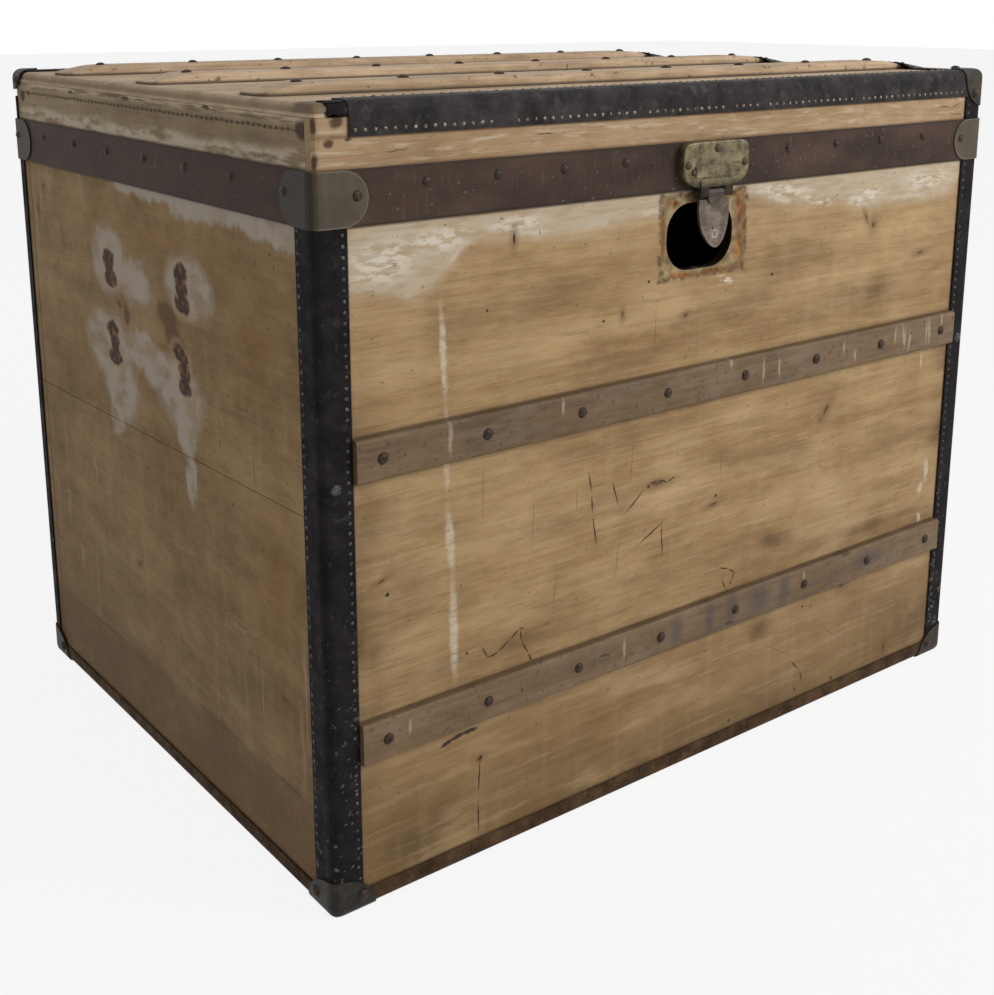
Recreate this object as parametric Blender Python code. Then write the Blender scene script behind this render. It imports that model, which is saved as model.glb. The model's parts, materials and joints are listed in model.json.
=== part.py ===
"""Travel trunk: a nailed poplar case with a hinged lid, leather edges and cast fittings.

The origin is on the floor under the middle of the trunk. +X runs along its length, the front
faces -Y and +Z is up. Every size is in metres.
"""

import math

import bmesh
import bpy
from mathutils import Matrix

# The wooden box, measured over its boards.
LENGTH = 0.801
DEPTH = 0.612
CASE_HEIGHT = 0.5602
LID_HEIGHT = 0.0897
WALL = 0.010
BASE_BOARD = 0.012
TOP_BOARD = 0.010
EDGE_ROUND = 0.006

# Air left between pieces that touch.
GAP = 0.0003

# Modelling allowances: two fused faces are kept out of one plane, and a fused detail is sunk in.
CLEAR = 0.00005
SUNK = 0.001

# Plank joint that runs across the end boards and the back board.
JOINT_HEIGHT = 0.3316
JOINT_TILT = math.radians(1.3)
JOINT_WIDTH = 0.0012
JOINT_DEPTH = 0.0018
JOINT_RUNOUT = 0.001

# Strips inside the case that rise into the lid and locate it.
LIP_THICKNESS = 0.005
LIP_HEIGHT = 0.042
LIP_RISE = 0.009
LIP_CLEARANCE = 0.0006
LIP_ROUND = 0.0015

# Opening left in the front board where the lock was.
LOCK_HOLE_WIDTH = 0.0826
LOCK_HOLE_HEIGHT = 0.060
LOCK_HOLE_ROUND = 0.027
LOCK_HOLE_X = -0.009
LOCK_HOLE_BELOW_SEAM = 0.0415

# Leather strips folded round the edges. A leg is measured from the wood's corner.
LEATHER = 0.0016
CORNER_LEG = 0.026
CORNER_LEG_REAR = 0.015
CORNER_LEG_TORN = 0.0075
BASE_BINDING_LEG = 0.0155
LID_BINDING_FACE = 0.0245
LID_BINDING_TOP = 0.022
LID_BINDING_END_TOP = 0.025
FRONT_BINDING_LOST = 0.030

# Fibre band round the lid's lower rim.
BAND = 0.002
BAND_HEIGHT = 0.0418

# Pressed steel fittings.
SHEET = 0.0012
BRACKET_LEG = 0.044
BASE_CAP_SPREAD = 0.038
BASE_CAP_HEIGHT = 0.031
LID_CAP_SPREAD = 0.031
LID_CAP_ABOVE_BAND = 0.0129
WORN_CAP_SPREAD = 0.024
WORN_CAP_HEIGHT = 0.018

# Hardwood battens on the front and the back.
BATTEN_WIDTH = 0.035
BATTEN_THICKNESS = 0.0072
BATTEN_ROUND = 0.0028
BATTEN_HEIGHTS = {"lower": 0.1496, "upper": 0.3851}

# Battens on the top. Their ends thin out towards the lid's edge and are round in plan.
TOP_BATTEN_WIDTH = 0.045
TOP_BATTEN_THICKNESS = 0.009
TOP_BATTEN_ROUND = 0.0032
TOP_BATTEN_PITCH = 0.197
TOP_BATTEN_INSET = 0.008
TOP_BATTEN_CORNER = 0.012
TOP_BATTEN_TAPER = 0.045
TOP_BATTEN_TIP = 0.002
# The taper's outline as shares of its length and of its rise.
TAPER_CURVE = ((0.0, 0.0), (0.6, 0.75), (0.8, 0.93), (1.0, 1.0))
LEATHER_RAMP = 0.022

# Hinges on the back.
HINGE_SPACING = 0.46
HINGE_WIDTH = 0.062
HINGE_KNUCKLES = 5
LEAF = 0.0018
CASE_LEAF_HEIGHT = 0.046
LID_LEAF_HEIGHT = 0.036
LEAF_ROUND = 0.006
BARREL_RADIUS = 0.0045
PIN_RADIUS = 0.002
PIN_HEAD_RADIUS = 0.0034
PIN_HEAD = 0.0012
RUNNING_GAP = 0.0006

# Cast lock plate on the lid. Its sides bulge, its top is nearly square and its foot is round.
LOCK_X = -0.001
PLATE_WIDTH = 0.081
PLATE_THICKNESS = 0.008
PLATE_ROUND = 0.0012
PLATE_TOP_POWER = 7.0
PLATE_FOOT_POWER = 2.7
BAR_WIDTH = 0.054
BAR_HEIGHT = 0.0102
BAR_RISE = 0.0018
BAR_BELOW_TOP = 0.0258
EAR_SPAN = 0.040
EAR_GAP = 0.020
EAR_RADIUS = 0.0045
EAR_TOP = 0.0135
RIVET_RISE = 0.0022
# Distance from the middle of the plate, height above the lid's rim, radius.
RIVETS = ((0.0, 0.0354, 0.0036), (-0.0355, 0.0225, 0.0036), (0.0350, 0.0215, 0.0036),
          (-0.0289, 0.0157, 0.0029))

# Tongue that hangs from the ears.
TONGUE_WIDTH = 0.037
TONGUE_LENGTH = 0.049
TONGUE_THICKNESS = 0.0026
TONGUE_TURN_OUT = 0.0035
TONGUE_SHOULDER = 0.0057
TONGUE_STRAIGHT = 0.3
TONGUE_TIP_POWER = 1.75
TONGUE_STAMP = 0.0054
TONGUE_STAMP_RISE = 0.0005
TONGUE_STAMP_AT = 0.033
LOBE_LENGTH = 0.0112
LOBE_RISE = 0.0012
HASP_DROP = 0.003
HASP_PIN_RADIUS = 0.0016
HASP_PIN_HEAD_RADIUS = 0.0024
HASP_PIN_HEAD = 0.0008

# Facets on round shapes.
FOLD_STEPS = 4
BARREL_STEPS = 16
CAP_STEPS = 32
LOBE_STEPS = 12
HOLE_STEPS = 10
TIP_STEPS = 8
BEND_STEPS = 6
END_STEPS = 3
RAMP_STEPS = 5

# Heights worked out from the sizes above.
BASE_Z = SHEET + GAP + LEATHER + GAP
WALL_Z = BASE_Z + BASE_BOARD + GAP
SEAM_Z = BASE_Z + CASE_HEIGHT
LID_Z = SEAM_Z + GAP
TOP_Z = LID_Z + LID_HEIGHT
RAIL_TOP_Z = TOP_Z - TOP_BOARD - GAP
BAND_TOP_Z = LID_Z + BAND_HEIGHT
LID_CAP_HEIGHT = LID_HEIGHT - BAND_HEIGHT - LID_CAP_ABOVE_BAND

# How far each layer stands off the wood.
OVER_BAND = GAP + BAND + GAP
OVER_LEATHER = GAP + LEATHER + GAP

# Joint axes.
HINGE_AXIS = (0.0, DEPTH / 2 + OVER_BAND + BARREL_RADIUS, SEAM_Z)
HASP_AXIS = (LOCK_X, -DEPTH / 2 - OVER_BAND - EAR_RADIUS, SEAM_Z - HASP_DROP)

# A side's turn about Z carries the local +Y of the back onto that side's outward direction.
SIDES = {"back": 0, "left": 1, "front": 2, "right": 3}
CORNERS = {"back_right": 0, "back_left": 1, "front_left": 2, "front_right": 3}

# Which leg of a rear corner strip lies over the trunk's end, where it is narrow.
END_LEG = {"back_right": 1, "back_left": 0}


def linear(hex_colour):
    """Linear RGBA of an sRGB hex colour."""
    channels = [int(hex_colour[i:i + 2], 16) / 255 for i in (1, 3, 5)]
    curve = [c / 12.92 if c <= 0.04045 else ((c + 0.055) / 1.055) ** 2.4 for c in channels]
    return (*curve, 1.0)


def make_material(name, hex_colour, roughness, metallic=0.0):
    material = bpy.data.materials.new(name)
    material.use_nodes = True
    material.diffuse_color = linear(hex_colour)
    shader = material.node_tree.nodes["Principled BSDF"]
    shader.inputs["Base Color"].default_value = linear(hex_colour)
    shader.inputs["Roughness"].default_value = roughness
    shader.inputs["Metallic"].default_value = metallic
    return material


def clear_scene():
    for item in list(bpy.data.objects):
        bpy.data.objects.remove(item, do_unlink=True)


def arc(centre, radius, start, end, steps):
    """Points on an arc, both ends included, with angles in degrees."""
    angles = [math.radians(start + (end - start) * i / steps) for i in range(steps + 1)]
    return [(centre[0] + radius * math.cos(a), centre[1] + radius * math.sin(a)) for a in angles]


def ring(centre, radius, steps):
    """Points all the way round a circle."""
    return arc(centre, radius, 0, 360, steps)[:-1]


def rounded_outline(width, height, radius, steps=FOLD_STEPS, centre=(0.0, 0.0)):
    """A rectangle with four round corners, counter-clockwise."""
    points = []
    for turn, (sx, sy) in enumerate(((1, 1), (-1, 1), (-1, -1), (1, -1))):
        middle = (centre[0] + sx * (width / 2 - radius), centre[1] + sy * (height / 2 - radius))
        points += arc(middle, radius, 90 * turn, 90 * turn + 90, steps)
    return points


def folded_outline(leg_a, leg_b, offset, thickness, lift=None):
    """Section of a strip folded round an edge of the wood, which fills a < 0 and b < 0.

    Leg a lies over the face that looks along b, and leg b over the face that looks along a.
    A lift of (inner, outer) raises leg a, for a strip that passes over a batten.
    """
    rise_in, rise_out = lift or (0.0, 0.0)
    centre = (-EDGE_ROUND, -EDGE_ROUND)
    outer = arc(centre, EDGE_ROUND + offset + thickness, 90, 0, FOLD_STEPS)
    inner = arc(centre, EDGE_ROUND + offset, 0, 90, FOLD_STEPS)
    share = [i / FOLD_STEPS for i in range(FOLD_STEPS + 1)]
    outer = [(a, b + rise_out * math.cos(math.pi / 2 * s)) for (a, b), s in zip(outer, share)]
    inner = [(a, b + rise_out * math.sin(math.pi / 2 * s)) for (a, b), s in zip(inner, share)]
    points = [(-leg_a, offset + thickness + rise_in)]
    points += outer
    points += [(offset + thickness, -leg_b), (offset, -leg_b)]
    points += inner
    points += [(-leg_a, offset + rise_in)]
    return points


def block(size, centre):
    """A plain box as a bmesh."""
    bm = bmesh.new()
    bmesh.ops.create_cube(bm, size=1.0)
    bmesh.ops.scale(bm, vec=size, verts=bm.verts)
    bmesh.ops.translate(bm, vec=centre, verts=bm.verts)
    return bm


def prism(outline, axis, start, end):
    """Extrude a closed outline along an axis; the outline is in the two other axes, in order."""
    def spread(point, along):
        values = list(point)
        values.insert("XYZ".index(axis), along)
        return values

    bm = bmesh.new()
    face = bm.faces.new([bm.verts.new(spread(point, start)) for point in outline])
    result = bmesh.ops.extrude_face_region(bm, geom=[face])
    moved = [item for item in result["geom"] if isinstance(item, bmesh.types.BMVert)]
    shift = spread((0.0, 0.0), end - start)
    bmesh.ops.translate(bm, vec=shift, verts=moved)
    bmesh.ops.recalc_face_normals(bm, faces=bm.faces)
    return bm


def loft(sections):
    """Close a skin over sections that all have the same number of points."""
    bm = bmesh.new()
    rings = [[bm.verts.new(point) for point in section] for section in sections]
    for near, far in zip(rings, rings[1:]):
        for i in range(len(near)):
            j = (i + 1) % len(near)
            bm.faces.new((near[i], near[j], far[j], far[i]))
    bm.faces.new(list(reversed(rings[0])))
    bm.faces.new(rings[-1])
    bmesh.ops.recalc_face_normals(bm, faces=bm.faces)
    return bm


def round_edges(bm, radius, chosen, steps=3):
    """Bevel every edge that the test picks."""
    edges = [edge for edge in bm.edges if chosen(edge)]
    bmesh.ops.bevel(bm, geom=edges, offset=radius, segments=steps, profile=0.5,
                    affect="EDGES", material=-1, clamp_overlap=True)
    return bm


def edge_runs(edge, axis):
    """True where the edge is parallel to the axis."""
    direction = edge.verts[1].co - edge.verts[0].co
    return abs(direction["XYZ".index(axis)]) > 0.999 * direction.length


def edge_middle(edge):
    return (edge.verts[0].co + edge.verts[1].co) / 2


def holder_for(bm, name):
    """A short-lived object that carries a bmesh into a modifier."""
    mesh = bpy.data.meshes.new(name)
    bm.to_mesh(mesh)
    bm.free()
    holder = bpy.data.objects.new(name, mesh)
    bpy.context.scene.collection.objects.link(holder)
    return holder


def combine(base, *steps):
    """Run (operation, shape) steps on a shape with the exact Boolean and return the result."""
    holder = holder_for(base, "shape")
    tools = []
    for operation, shape in steps:
        tool = holder_for(shape, "tool")
        tool.hide_render = True
        tool.display_type = "WIRE"
        modifier = holder.modifiers.new(operation.lower(), "BOOLEAN")
        modifier.operation = operation
        modifier.object = tool
        tools.append(tool)
    graph = bpy.context.evaluated_depsgraph_get()
    result = bmesh.new()
    result.from_mesh(holder.evaluated_get(graph).to_mesh())
    bmesh.ops.remove_doubles(result, verts=result.verts, dist=1e-6)
    for item in [holder] + tools:
        bpy.data.objects.remove(item, do_unlink=True)
    return result


def finished_mesh(name, bm, smooth_angle=None):
    """Turn a bmesh into mesh data, smooth where neighbouring faces meet under an angle."""
    mesh = bpy.data.meshes.new(name)
    bm.to_mesh(mesh)
    bm.free()
    if smooth_angle:
        mesh.shade_smooth()
        mesh.set_sharp_from_angle(angle=math.radians(smooth_angle))
    return mesh


def place(name, mesh, material, location=(0, 0, 0), turn=0, carrier=None):
    """Put a piece into the scene; turn counts quarter turns about Z."""
    if not mesh.materials:
        mesh.materials.append(material)
    piece = bpy.data.objects.new(name, mesh)
    piece.location = location
    piece.rotation_euler = (0.0, 0.0, turn * math.pi / 2)
    bpy.context.scene.collection.objects.link(piece)
    if carrier:
        piece.parent = carrier
        piece.matrix_parent_inverse = Matrix.Translation(carrier.location).inverted()
    return piece


def joint_empty(name, point, parent=None):
    """An empty on a joint's axis, which carries the pieces that turn with it."""
    empty = bpy.data.objects.new(name, None)
    empty.location = point
    bpy.context.scene.collection.objects.link(empty)
    if parent:
        empty.parent = parent
        empty.matrix_parent_inverse = Matrix.Translation(parent.location).inverted()
    return empty


def side_place(side, outward=0.0, height=0.0):
    """Location of a piece whose local origin is on the wood's face, in the middle of a side."""
    reach = (DEPTH if side in ("front", "back") else LENGTH) / 2 + outward
    angle = SIDES[side] * math.pi / 2
    return (-math.sin(angle) * reach, math.cos(angle) * reach, height)


def side_length(side):
    return LENGTH if side in ("front", "back") else DEPTH


def corner_place(corner, height=0.0):
    """Location of a piece whose local origin is on the wood's vertical corner line."""
    x = LENGTH / 2 if "right" in corner else -LENGTH / 2
    y = DEPTH / 2 if "back" in corner else -DEPTH / 2
    return (x, y, height)


def wall_mesh(name, side, low, high, planks=False, hole=None):
    """A board of one side, from its outer face at local y = 0 inwards."""
    run = side_length(side)
    through = side in ("front", "back")
    if not through:
        run -= 2 * (WALL + GAP)
    bm = block((run, WALL, high - low), (0, -WALL / 2, (low + high) / 2))
    if through:
        round_edges(bm, EDGE_ROUND, lambda e: edge_runs(e, "Z") and edge_middle(e).y > -WALL / 2)
    if planks:
        groove = [(JOINT_RUNOUT, JOINT_WIDTH / 2), (-JOINT_DEPTH, 0.0),
                  (JOINT_RUNOUT, -JOINT_WIDTH / 2)]
        cutter = prism(groove, "X", -run, run)
        bmesh.ops.rotate(cutter, verts=cutter.verts, matrix=Matrix.Rotation(JOINT_TILT, 3, "Y"))
        bmesh.ops.translate(cutter, verts=cutter.verts, vec=(0, 0, JOINT_HEIGHT))
        bm = combine(bm, ("DIFFERENCE", cutter))
    if hole:
        bm = combine(bm, ("DIFFERENCE", prism(hole, "Y", -2 * WALL, WALL)))
    return finished_mesh(name, bm, 40)


def lock_hole_outline():
    """The hole in the front board, seen in the board's own turned frame."""
    centre = (-LOCK_HOLE_X, SEAM_Z - LOCK_HOLE_BELOW_SEAM)
    return rounded_outline(LOCK_HOLE_WIDTH, LOCK_HOLE_HEIGHT, LOCK_HOLE_ROUND, HOLE_STEPS, centre)


def make_case_boards(wood):
    base = block((LENGTH, DEPTH, BASE_BOARD), (0, 0, BASE_Z + BASE_BOARD / 2))
    round_edges(base, EDGE_ROUND, lambda e: edge_runs(e, "Z") or edge_middle(e).z < BASE_Z + 1e-5)
    place("bottom_board", finished_mesh("bottom_board", base, 40), wood)
    for side, turn in SIDES.items():
        hole = lock_hole_outline() if side == "front" else None
        mesh = wall_mesh(f"{side}_board", side, WALL_Z, SEAM_Z, side != "front", hole)
        place(f"{side}_board", mesh, wood, side_place(side), turn)


def lock_notch(low):
    """Cutter that clears the front lip strip behind the lock hole, in the board's turned frame."""
    high = SEAM_Z - LOCK_HOLE_BELOW_SEAM + LOCK_HOLE_HEIGHT / 2 + LIP_CLEARANCE
    size = (LOCK_HOLE_WIDTH + 2 * LIP_CLEARANCE, 3 * LIP_THICKNESS, 2 * (high - low))
    return block(size, (-LOCK_HOLE_X, -LIP_THICKNESS / 2, low))


def make_lip_strips(wood):
    """Four strips against the inside of the walls, standing up past the seam."""
    for side, turn in SIDES.items():
        run = side_length(side) - 2 * (WALL + LIP_CLEARANCE)
        if side in ("left", "right"):
            run -= 2 * (LIP_THICKNESS + GAP)
        top = SEAM_Z + LIP_RISE
        centre = (0, -LIP_THICKNESS / 2, top - LIP_HEIGHT / 2)
        bm = block((run, LIP_THICKNESS, LIP_HEIGHT), centre)
        round_edges(bm, LIP_ROUND, lambda e: edge_runs(e, "X") and edge_middle(e).z > SEAM_Z, 2)
        if side == "front":
            bm = combine(bm, ("DIFFERENCE", lock_notch(top - LIP_HEIGHT)))
        location = side_place(side, -(WALL + LIP_CLEARANCE))
        place(f"lip_strip_{side}", finished_mesh(f"lip_strip_{side}", bm, 40), wood, location, turn)


def corner_strip_mesh(name, corner, end_leg, low, high):
    legs = [CORNER_LEG, CORNER_LEG]
    if corner in END_LEG:
        legs[END_LEG[corner]] = end_leg
    return finished_mesh(name, prism(folded_outline(*legs, GAP, LEATHER), "Z", low, high), 40)


def make_corner_leather(leather, lid_joint):
    """Strips folded round the vertical corners of the case, and the short ones of the lid.

    On the lid the one at the back left is torn off along its end leg.
    """
    lid_low = BAND_TOP_Z + GAP
    lid_high = TOP_Z - LID_BINDING_FACE - GAP
    for corner, turn in CORNERS.items():
        name = f"corner_leather_{corner}"
        mesh = corner_strip_mesh(name, corner, CORNER_LEG_REAR, BASE_Z + EDGE_ROUND, SEAM_Z)
        place(name, mesh, leather, corner_place(corner), turn)
        if corner != "front_left":
            name = f"lid_corner_leather_{corner}"
            end_leg = CORNER_LEG_TORN if corner == "back_left" else CORNER_LEG_REAR
            mesh = corner_strip_mesh(name, corner, end_leg, lid_low, lid_high)
            place(name, mesh, leather, corner_place(corner), turn, lid_joint)


def make_base_bindings(leather):
    """Strips folded under the bottom edges, between the corner strips."""
    # The corner legs at the side's local -X and +X ends.
    legs_at_ends = {
        "front": (CORNER_LEG, CORNER_LEG),
        "back": (CORNER_LEG, CORNER_LEG),
        "left": (CORNER_LEG, CORNER_LEG_REAR),
        "right": (CORNER_LEG_REAR, CORNER_LEG),
    }
    for side, turn in SIDES.items():
        section = folded_outline(BASE_BINDING_LEG, BASE_BINDING_LEG, GAP, LEATHER)
        section = [(a, -b) for a, b in section]
        first_leg, last_leg = legs_at_ends[side]
        half = side_length(side) / 2
        bm = prism(section, "X", -half + first_leg + GAP, half - last_leg - GAP)
        name = f"bottom_binding_{side}"
        location = side_place(side, height=BASE_Z)
        place(name, finished_mesh(name, bm, 40), leather, location, turn)


def rounded_corner(reach, offset, steps=FOLD_STEPS):
    """A solid that fills the corner's wood side up to an offset, with its three edges round."""
    size = reach + offset
    middle = (offset - reach) / 2
    bm = block((size, size, size), (middle, middle, middle))
    near = offset - 1e-6
    radius = EDGE_ROUND + offset
    return round_edges(bm, radius, lambda e: sum(v > near for v in edge_middle(e)) == 2, steps)


def cap_mesh(name, spread, height, upward):
    """A pressed corner cap: a thin rounded shell, cut to three round lobes."""
    reach = 2 * max(spread, height)
    shell = rounded_corner(reach, OVER_LEATHER + SHEET)
    lobes = bmesh.new()
    bmesh.ops.create_uvsphere(lobes, u_segments=CAP_STEPS, v_segments=CAP_STEPS // 2, radius=1.0)
    bmesh.ops.scale(lobes, vec=(spread, spread, height), verts=lobes.verts)
    bm = combine(shell, ("DIFFERENCE", rounded_corner(reach + 0.01, OVER_LEATHER)),
                 ("INTERSECT", lobes))
    if not upward:
        bmesh.ops.scale(bm, vec=(1, 1, -1), verts=bm.verts)
        bmesh.ops.reverse_faces(bm, faces=bm.faces)
    return finished_mesh(name, bm, 40)


def make_corner_caps(steel, lid_joint):
    base_cap = cap_mesh("bottom_cap", BASE_CAP_SPREAD, BASE_CAP_HEIGHT, upward=False)
    lid_cap = cap_mesh("lid_cap", LID_CAP_SPREAD, LID_CAP_HEIGHT, upward=True)
    worn_cap = cap_mesh("worn_lid_cap", WORN_CAP_SPREAD, WORN_CAP_HEIGHT, upward=True)
    for corner, turn in CORNERS.items():
        place(f"bottom_cap_{corner}", base_cap, steel, corner_place(corner, BASE_Z), turn)
        if corner != "front_left":
            cap = worn_cap if corner == "back_left" else lid_cap
            place(f"lid_cap_{corner}", cap, steel, corner_place(corner, TOP_Z), turn, lid_joint)


def bracket_mesh():
    """A strip bent round the lid's corner over the band, with a round end on each leg."""
    strip = prism(folded_outline(BRACKET_LEG, BRACKET_LEG, OVER_BAND, SHEET), "Z",
                  0.0, BAND_HEIGHT)
    radius = BAND_HEIGHT / 2 + CLEAR
    beyond = BRACKET_LEG
    lobe = arc((radius + CLEAR - BRACKET_LEG, BAND_HEIGHT / 2), radius, 90, 270, LOBE_STEPS)
    lobe += [(beyond, -CLEAR), (beyond, BAND_HEIGHT + CLEAR)]
    across = prism(lobe, "Y", -2 * beyond, beyond)
    along = prism(lobe, "X", -2 * beyond, beyond)
    return finished_mesh("bracket", combine(strip, ("INTERSECT", across), ("INTERSECT", along)), 40)


def make_band_and_brackets(fibre, steel, lid_joint):
    bracket = bracket_mesh()
    for corner, turn in CORNERS.items():
        place(f"bracket_{corner}", bracket, steel, corner_place(corner, LID_Z), turn, lid_joint)
    for side, turn in SIDES.items():
        run = side_length(side) - 2 * EDGE_ROUND
        bm = block((run, BAND, BAND_HEIGHT), (0, GAP + BAND / 2, LID_Z + BAND_HEIGHT / 2))
        round_edges(bm, BAND / 3, lambda e: edge_runs(e, "X") and edge_middle(e).y > BAND, 2)
        name = f"band_{side}"
        place(name, finished_mesh(name, bm, 40), fibre, side_place(side), turn, lid_joint)


def batten_block(run, width, thickness, rounding):
    """A batten that lies along X on the plane z = 0, with its upper long edges round."""
    bm = block((run, width, thickness), (0, 0, thickness / 2))
    return round_edges(bm, rounding, lambda e: edge_runs(e, "X") and edge_middle(e).z > 1e-6)


def make_wall_battens(wood):
    """Two battens across the front and two across the back, between the corner strips."""
    run = LENGTH - 2 * (CORNER_LEG + GAP)
    for side in ("front", "back"):
        for level, height in BATTEN_HEIGHTS.items():
            bm = batten_block(run, BATTEN_WIDTH, BATTEN_THICKNESS, BATTEN_ROUND)
            upright = Matrix.Rotation(-math.pi / 2, 3, "X")
            bmesh.ops.rotate(bm, verts=bm.verts, matrix=upright)
            name = f"{side}_batten_{level}"
            location = side_place(side, GAP, height)
            place(name, finished_mesh(name, bm, 40), wood, location, SIDES[side])


def batten_height_at(from_tip):
    """Thickness of a top batten at a distance in from its tip."""
    share = min(1.0, from_tip / TOP_BATTEN_TAPER)
    rise = TOP_BATTEN_THICKNESS - TOP_BATTEN_TIP
    for (near, low), (far, high) in zip(TAPER_CURVE, TAPER_CURVE[1:]):
        if share <= far:
            return TOP_BATTEN_TIP + rise * (low + (high - low) * (share - near) / (far - near))


def batten_section(x, half_width, thickness):
    """Cross-section of a top batten, flat below and round at both upper edges."""
    rounding = TOP_BATTEN_ROUND * thickness / TOP_BATTEN_THICKNESS
    y = half_width - rounding
    points = [(half_width, 0.0)]
    points += arc((y, thickness - rounding), rounding, 0, 90, FOLD_STEPS)
    points += arc((-y, thickness - rounding), rounding, 90, 180, FOLD_STEPS)
    points += [(-half_width, 0.0)]
    return [(x, a, b) for a, b in points]


def top_batten_mesh():
    """A top batten: full height in the middle, thinned and round in plan at both ends."""
    half = LENGTH / 2 - TOP_BATTEN_INSET
    side = TOP_BATTEN_WIDTH / 2 - TOP_BATTEN_CORNER
    # Distance in from the tip and half the width there.
    stations = [(TOP_BATTEN_CORNER + a, side + b)
                for a, b in arc((0.0, 0.0), TOP_BATTEN_CORNER, 180, 90, END_STEPS)]
    stations += [(share * TOP_BATTEN_TAPER, TOP_BATTEN_WIDTH / 2) for share, _ in TAPER_CURVE[1:]]
    end = [(half - inset, width, batten_height_at(inset)) for inset, width in stations]
    sections = [batten_section(-x, width, height) for x, width, height in end]
    sections += [batten_section(x, width, height) for x, width, height in reversed(end)]
    return finished_mesh("top_batten", loft(sections), 40)


def make_lid_boards(wood, lid_joint):
    top = block((LENGTH, DEPTH, TOP_BOARD), (0, 0, TOP_Z - TOP_BOARD / 2))
    round_edges(top, EDGE_ROUND, lambda e: edge_runs(e, "Z") or edge_middle(e).z > TOP_Z - 1e-5)
    place("lid_top_board", finished_mesh("lid_top_board", top, 40), wood, carrier=lid_joint)
    for side, turn in SIDES.items():
        name = f"lid_rail_{side}"
        mesh = wall_mesh(name, side, LID_Z, RAIL_TOP_Z)
        place(name, mesh, wood, side_place(side), turn, lid_joint)
    batten = top_batten_mesh()
    for step, name in enumerate(("front", "middle", "back"), start=-1):
        location = (0, step * TOP_BATTEN_PITCH, TOP_Z + GAP)
        place(f"top_batten_{name}", batten, wood, location, 0, lid_joint)


def end_binding_mesh():
    """The strip on the lid's right edge, which rides up over the ends of the top battens.

    It butts against the front and back strips under the corner caps.
    """
    rise_in = batten_height_at(LID_BINDING_END_TOP - TOP_BATTEN_INSET) + GAP
    rise_out = TOP_BATTEN_TIP + GAP
    half = DEPTH / 2 - LID_BINDING_TOP - GAP
    flat = TOP_BATTEN_WIDTH / 2 + GAP
    # Away from a batten the strip comes down in a soft wave.
    steps = [i / RAMP_STEPS for i in range(RAMP_STEPS + 1)]
    ramp = [(flat + s * LEATHER_RAMP, 0.5 + 0.5 * math.cos(math.pi * s)) for s in steps]
    stations = [(-half, 0.0)]
    for step in (-1, 0, 1):
        middle = step * TOP_BATTEN_PITCH
        stations += [(middle - away, share) for away, share in reversed(ramp)]
        stations += [(middle + away, share) for away, share in ramp]
    stations.append((half, 0.0))
    sections = []
    for along, share in stations:
        lift = (share * rise_in, share * rise_out)
        points = folded_outline(LID_BINDING_END_TOP, LID_BINDING_FACE, GAP, LEATHER, lift)
        # Leg a lies on the top, so local Y is a and local Z is b.
        sections.append([(along, a, b) for a, b in points])
    return finished_mesh("lid_binding_right", loft(sections), 40)


def make_lid_bindings(leather, lid_joint):
    """Leather on the lid's front, back and right edges; the left edge has lost its strip."""
    section = folded_outline(LID_BINDING_TOP, LID_BINDING_FACE, GAP, LEATHER)
    half = LENGTH / 2 - EDGE_ROUND
    lost = LENGTH / 2 - FRONT_BINDING_LOST
    # The front side is turned half round, so its left end is at local +X.
    for side, far_end in (("front", lost), ("back", half)):
        name = f"lid_binding_{side}"
        mesh = finished_mesh(name, prism(section, "X", -half, far_end), 40)
        place(name, mesh, leather, side_place(side, height=TOP_Z), SIDES[side], lid_joint)
    name = "lid_binding_right"
    location = side_place("right", height=TOP_Z)
    place(name, end_binding_mesh(), leather, location, SIDES["right"], lid_joint)


def knuckle_spans():
    """X range of each knuckle of a hinge, with a running gap between neighbours."""
    pitch = HINGE_WIDTH / HINGE_KNUCKLES
    lows = [-HINGE_WIDTH / 2 + i * pitch for i in range(HINGE_KNUCKLES)]
    return [(low + GAP / 2, low + pitch - GAP / 2) for low in lows]


def leaf_plate(inner, outer, low, high, free_end):
    """A hinge leaf's flat plate, with round corners at its free end."""
    bm = block((HINGE_WIDTH, outer - inner, high - low), (0, (inner + outer) / 2, (low + high) / 2))

    def at_free_end(edge):
        return edge_runs(edge, "Y") and abs(edge_middle(edge).z - free_end) < 1e-6

    return round_edges(bm, LEAF_ROUND, at_free_end, FOLD_STEPS)


def case_leaf_mesh():
    """Leaf on the back board: it steps out to the barrel, past the lid's band."""
    axis_y = OVER_BAND + BARREL_RADIUS
    plate_top = -BARREL_RADIUS - RUNNING_GAP - LEAF
    inner, outer = GAP, GAP + LEAF
    bm = leaf_plate(inner, outer, -CASE_LEAF_HEIGHT, plate_top, -CASE_LEAF_HEIGHT)
    # The web runs from inside the plate up to the barrel's lower side.
    web = [(inner + CLEAR, plate_top - LEAF), (outer - CLEAR, plate_top - LEAF)]
    web += arc((axis_y, 0.0), BARREL_RADIUS, -80, 190, BARREL_STEPS)
    for low, high in knuckle_spans()[0::2]:
        bm = combine(bm, ("UNION", prism(web, "X", low, high)))
    bm = combine(bm, ("DIFFERENCE", hinge_bore(axis_y)))
    return finished_mesh("hinge_leaf_case", bm, 40)


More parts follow.
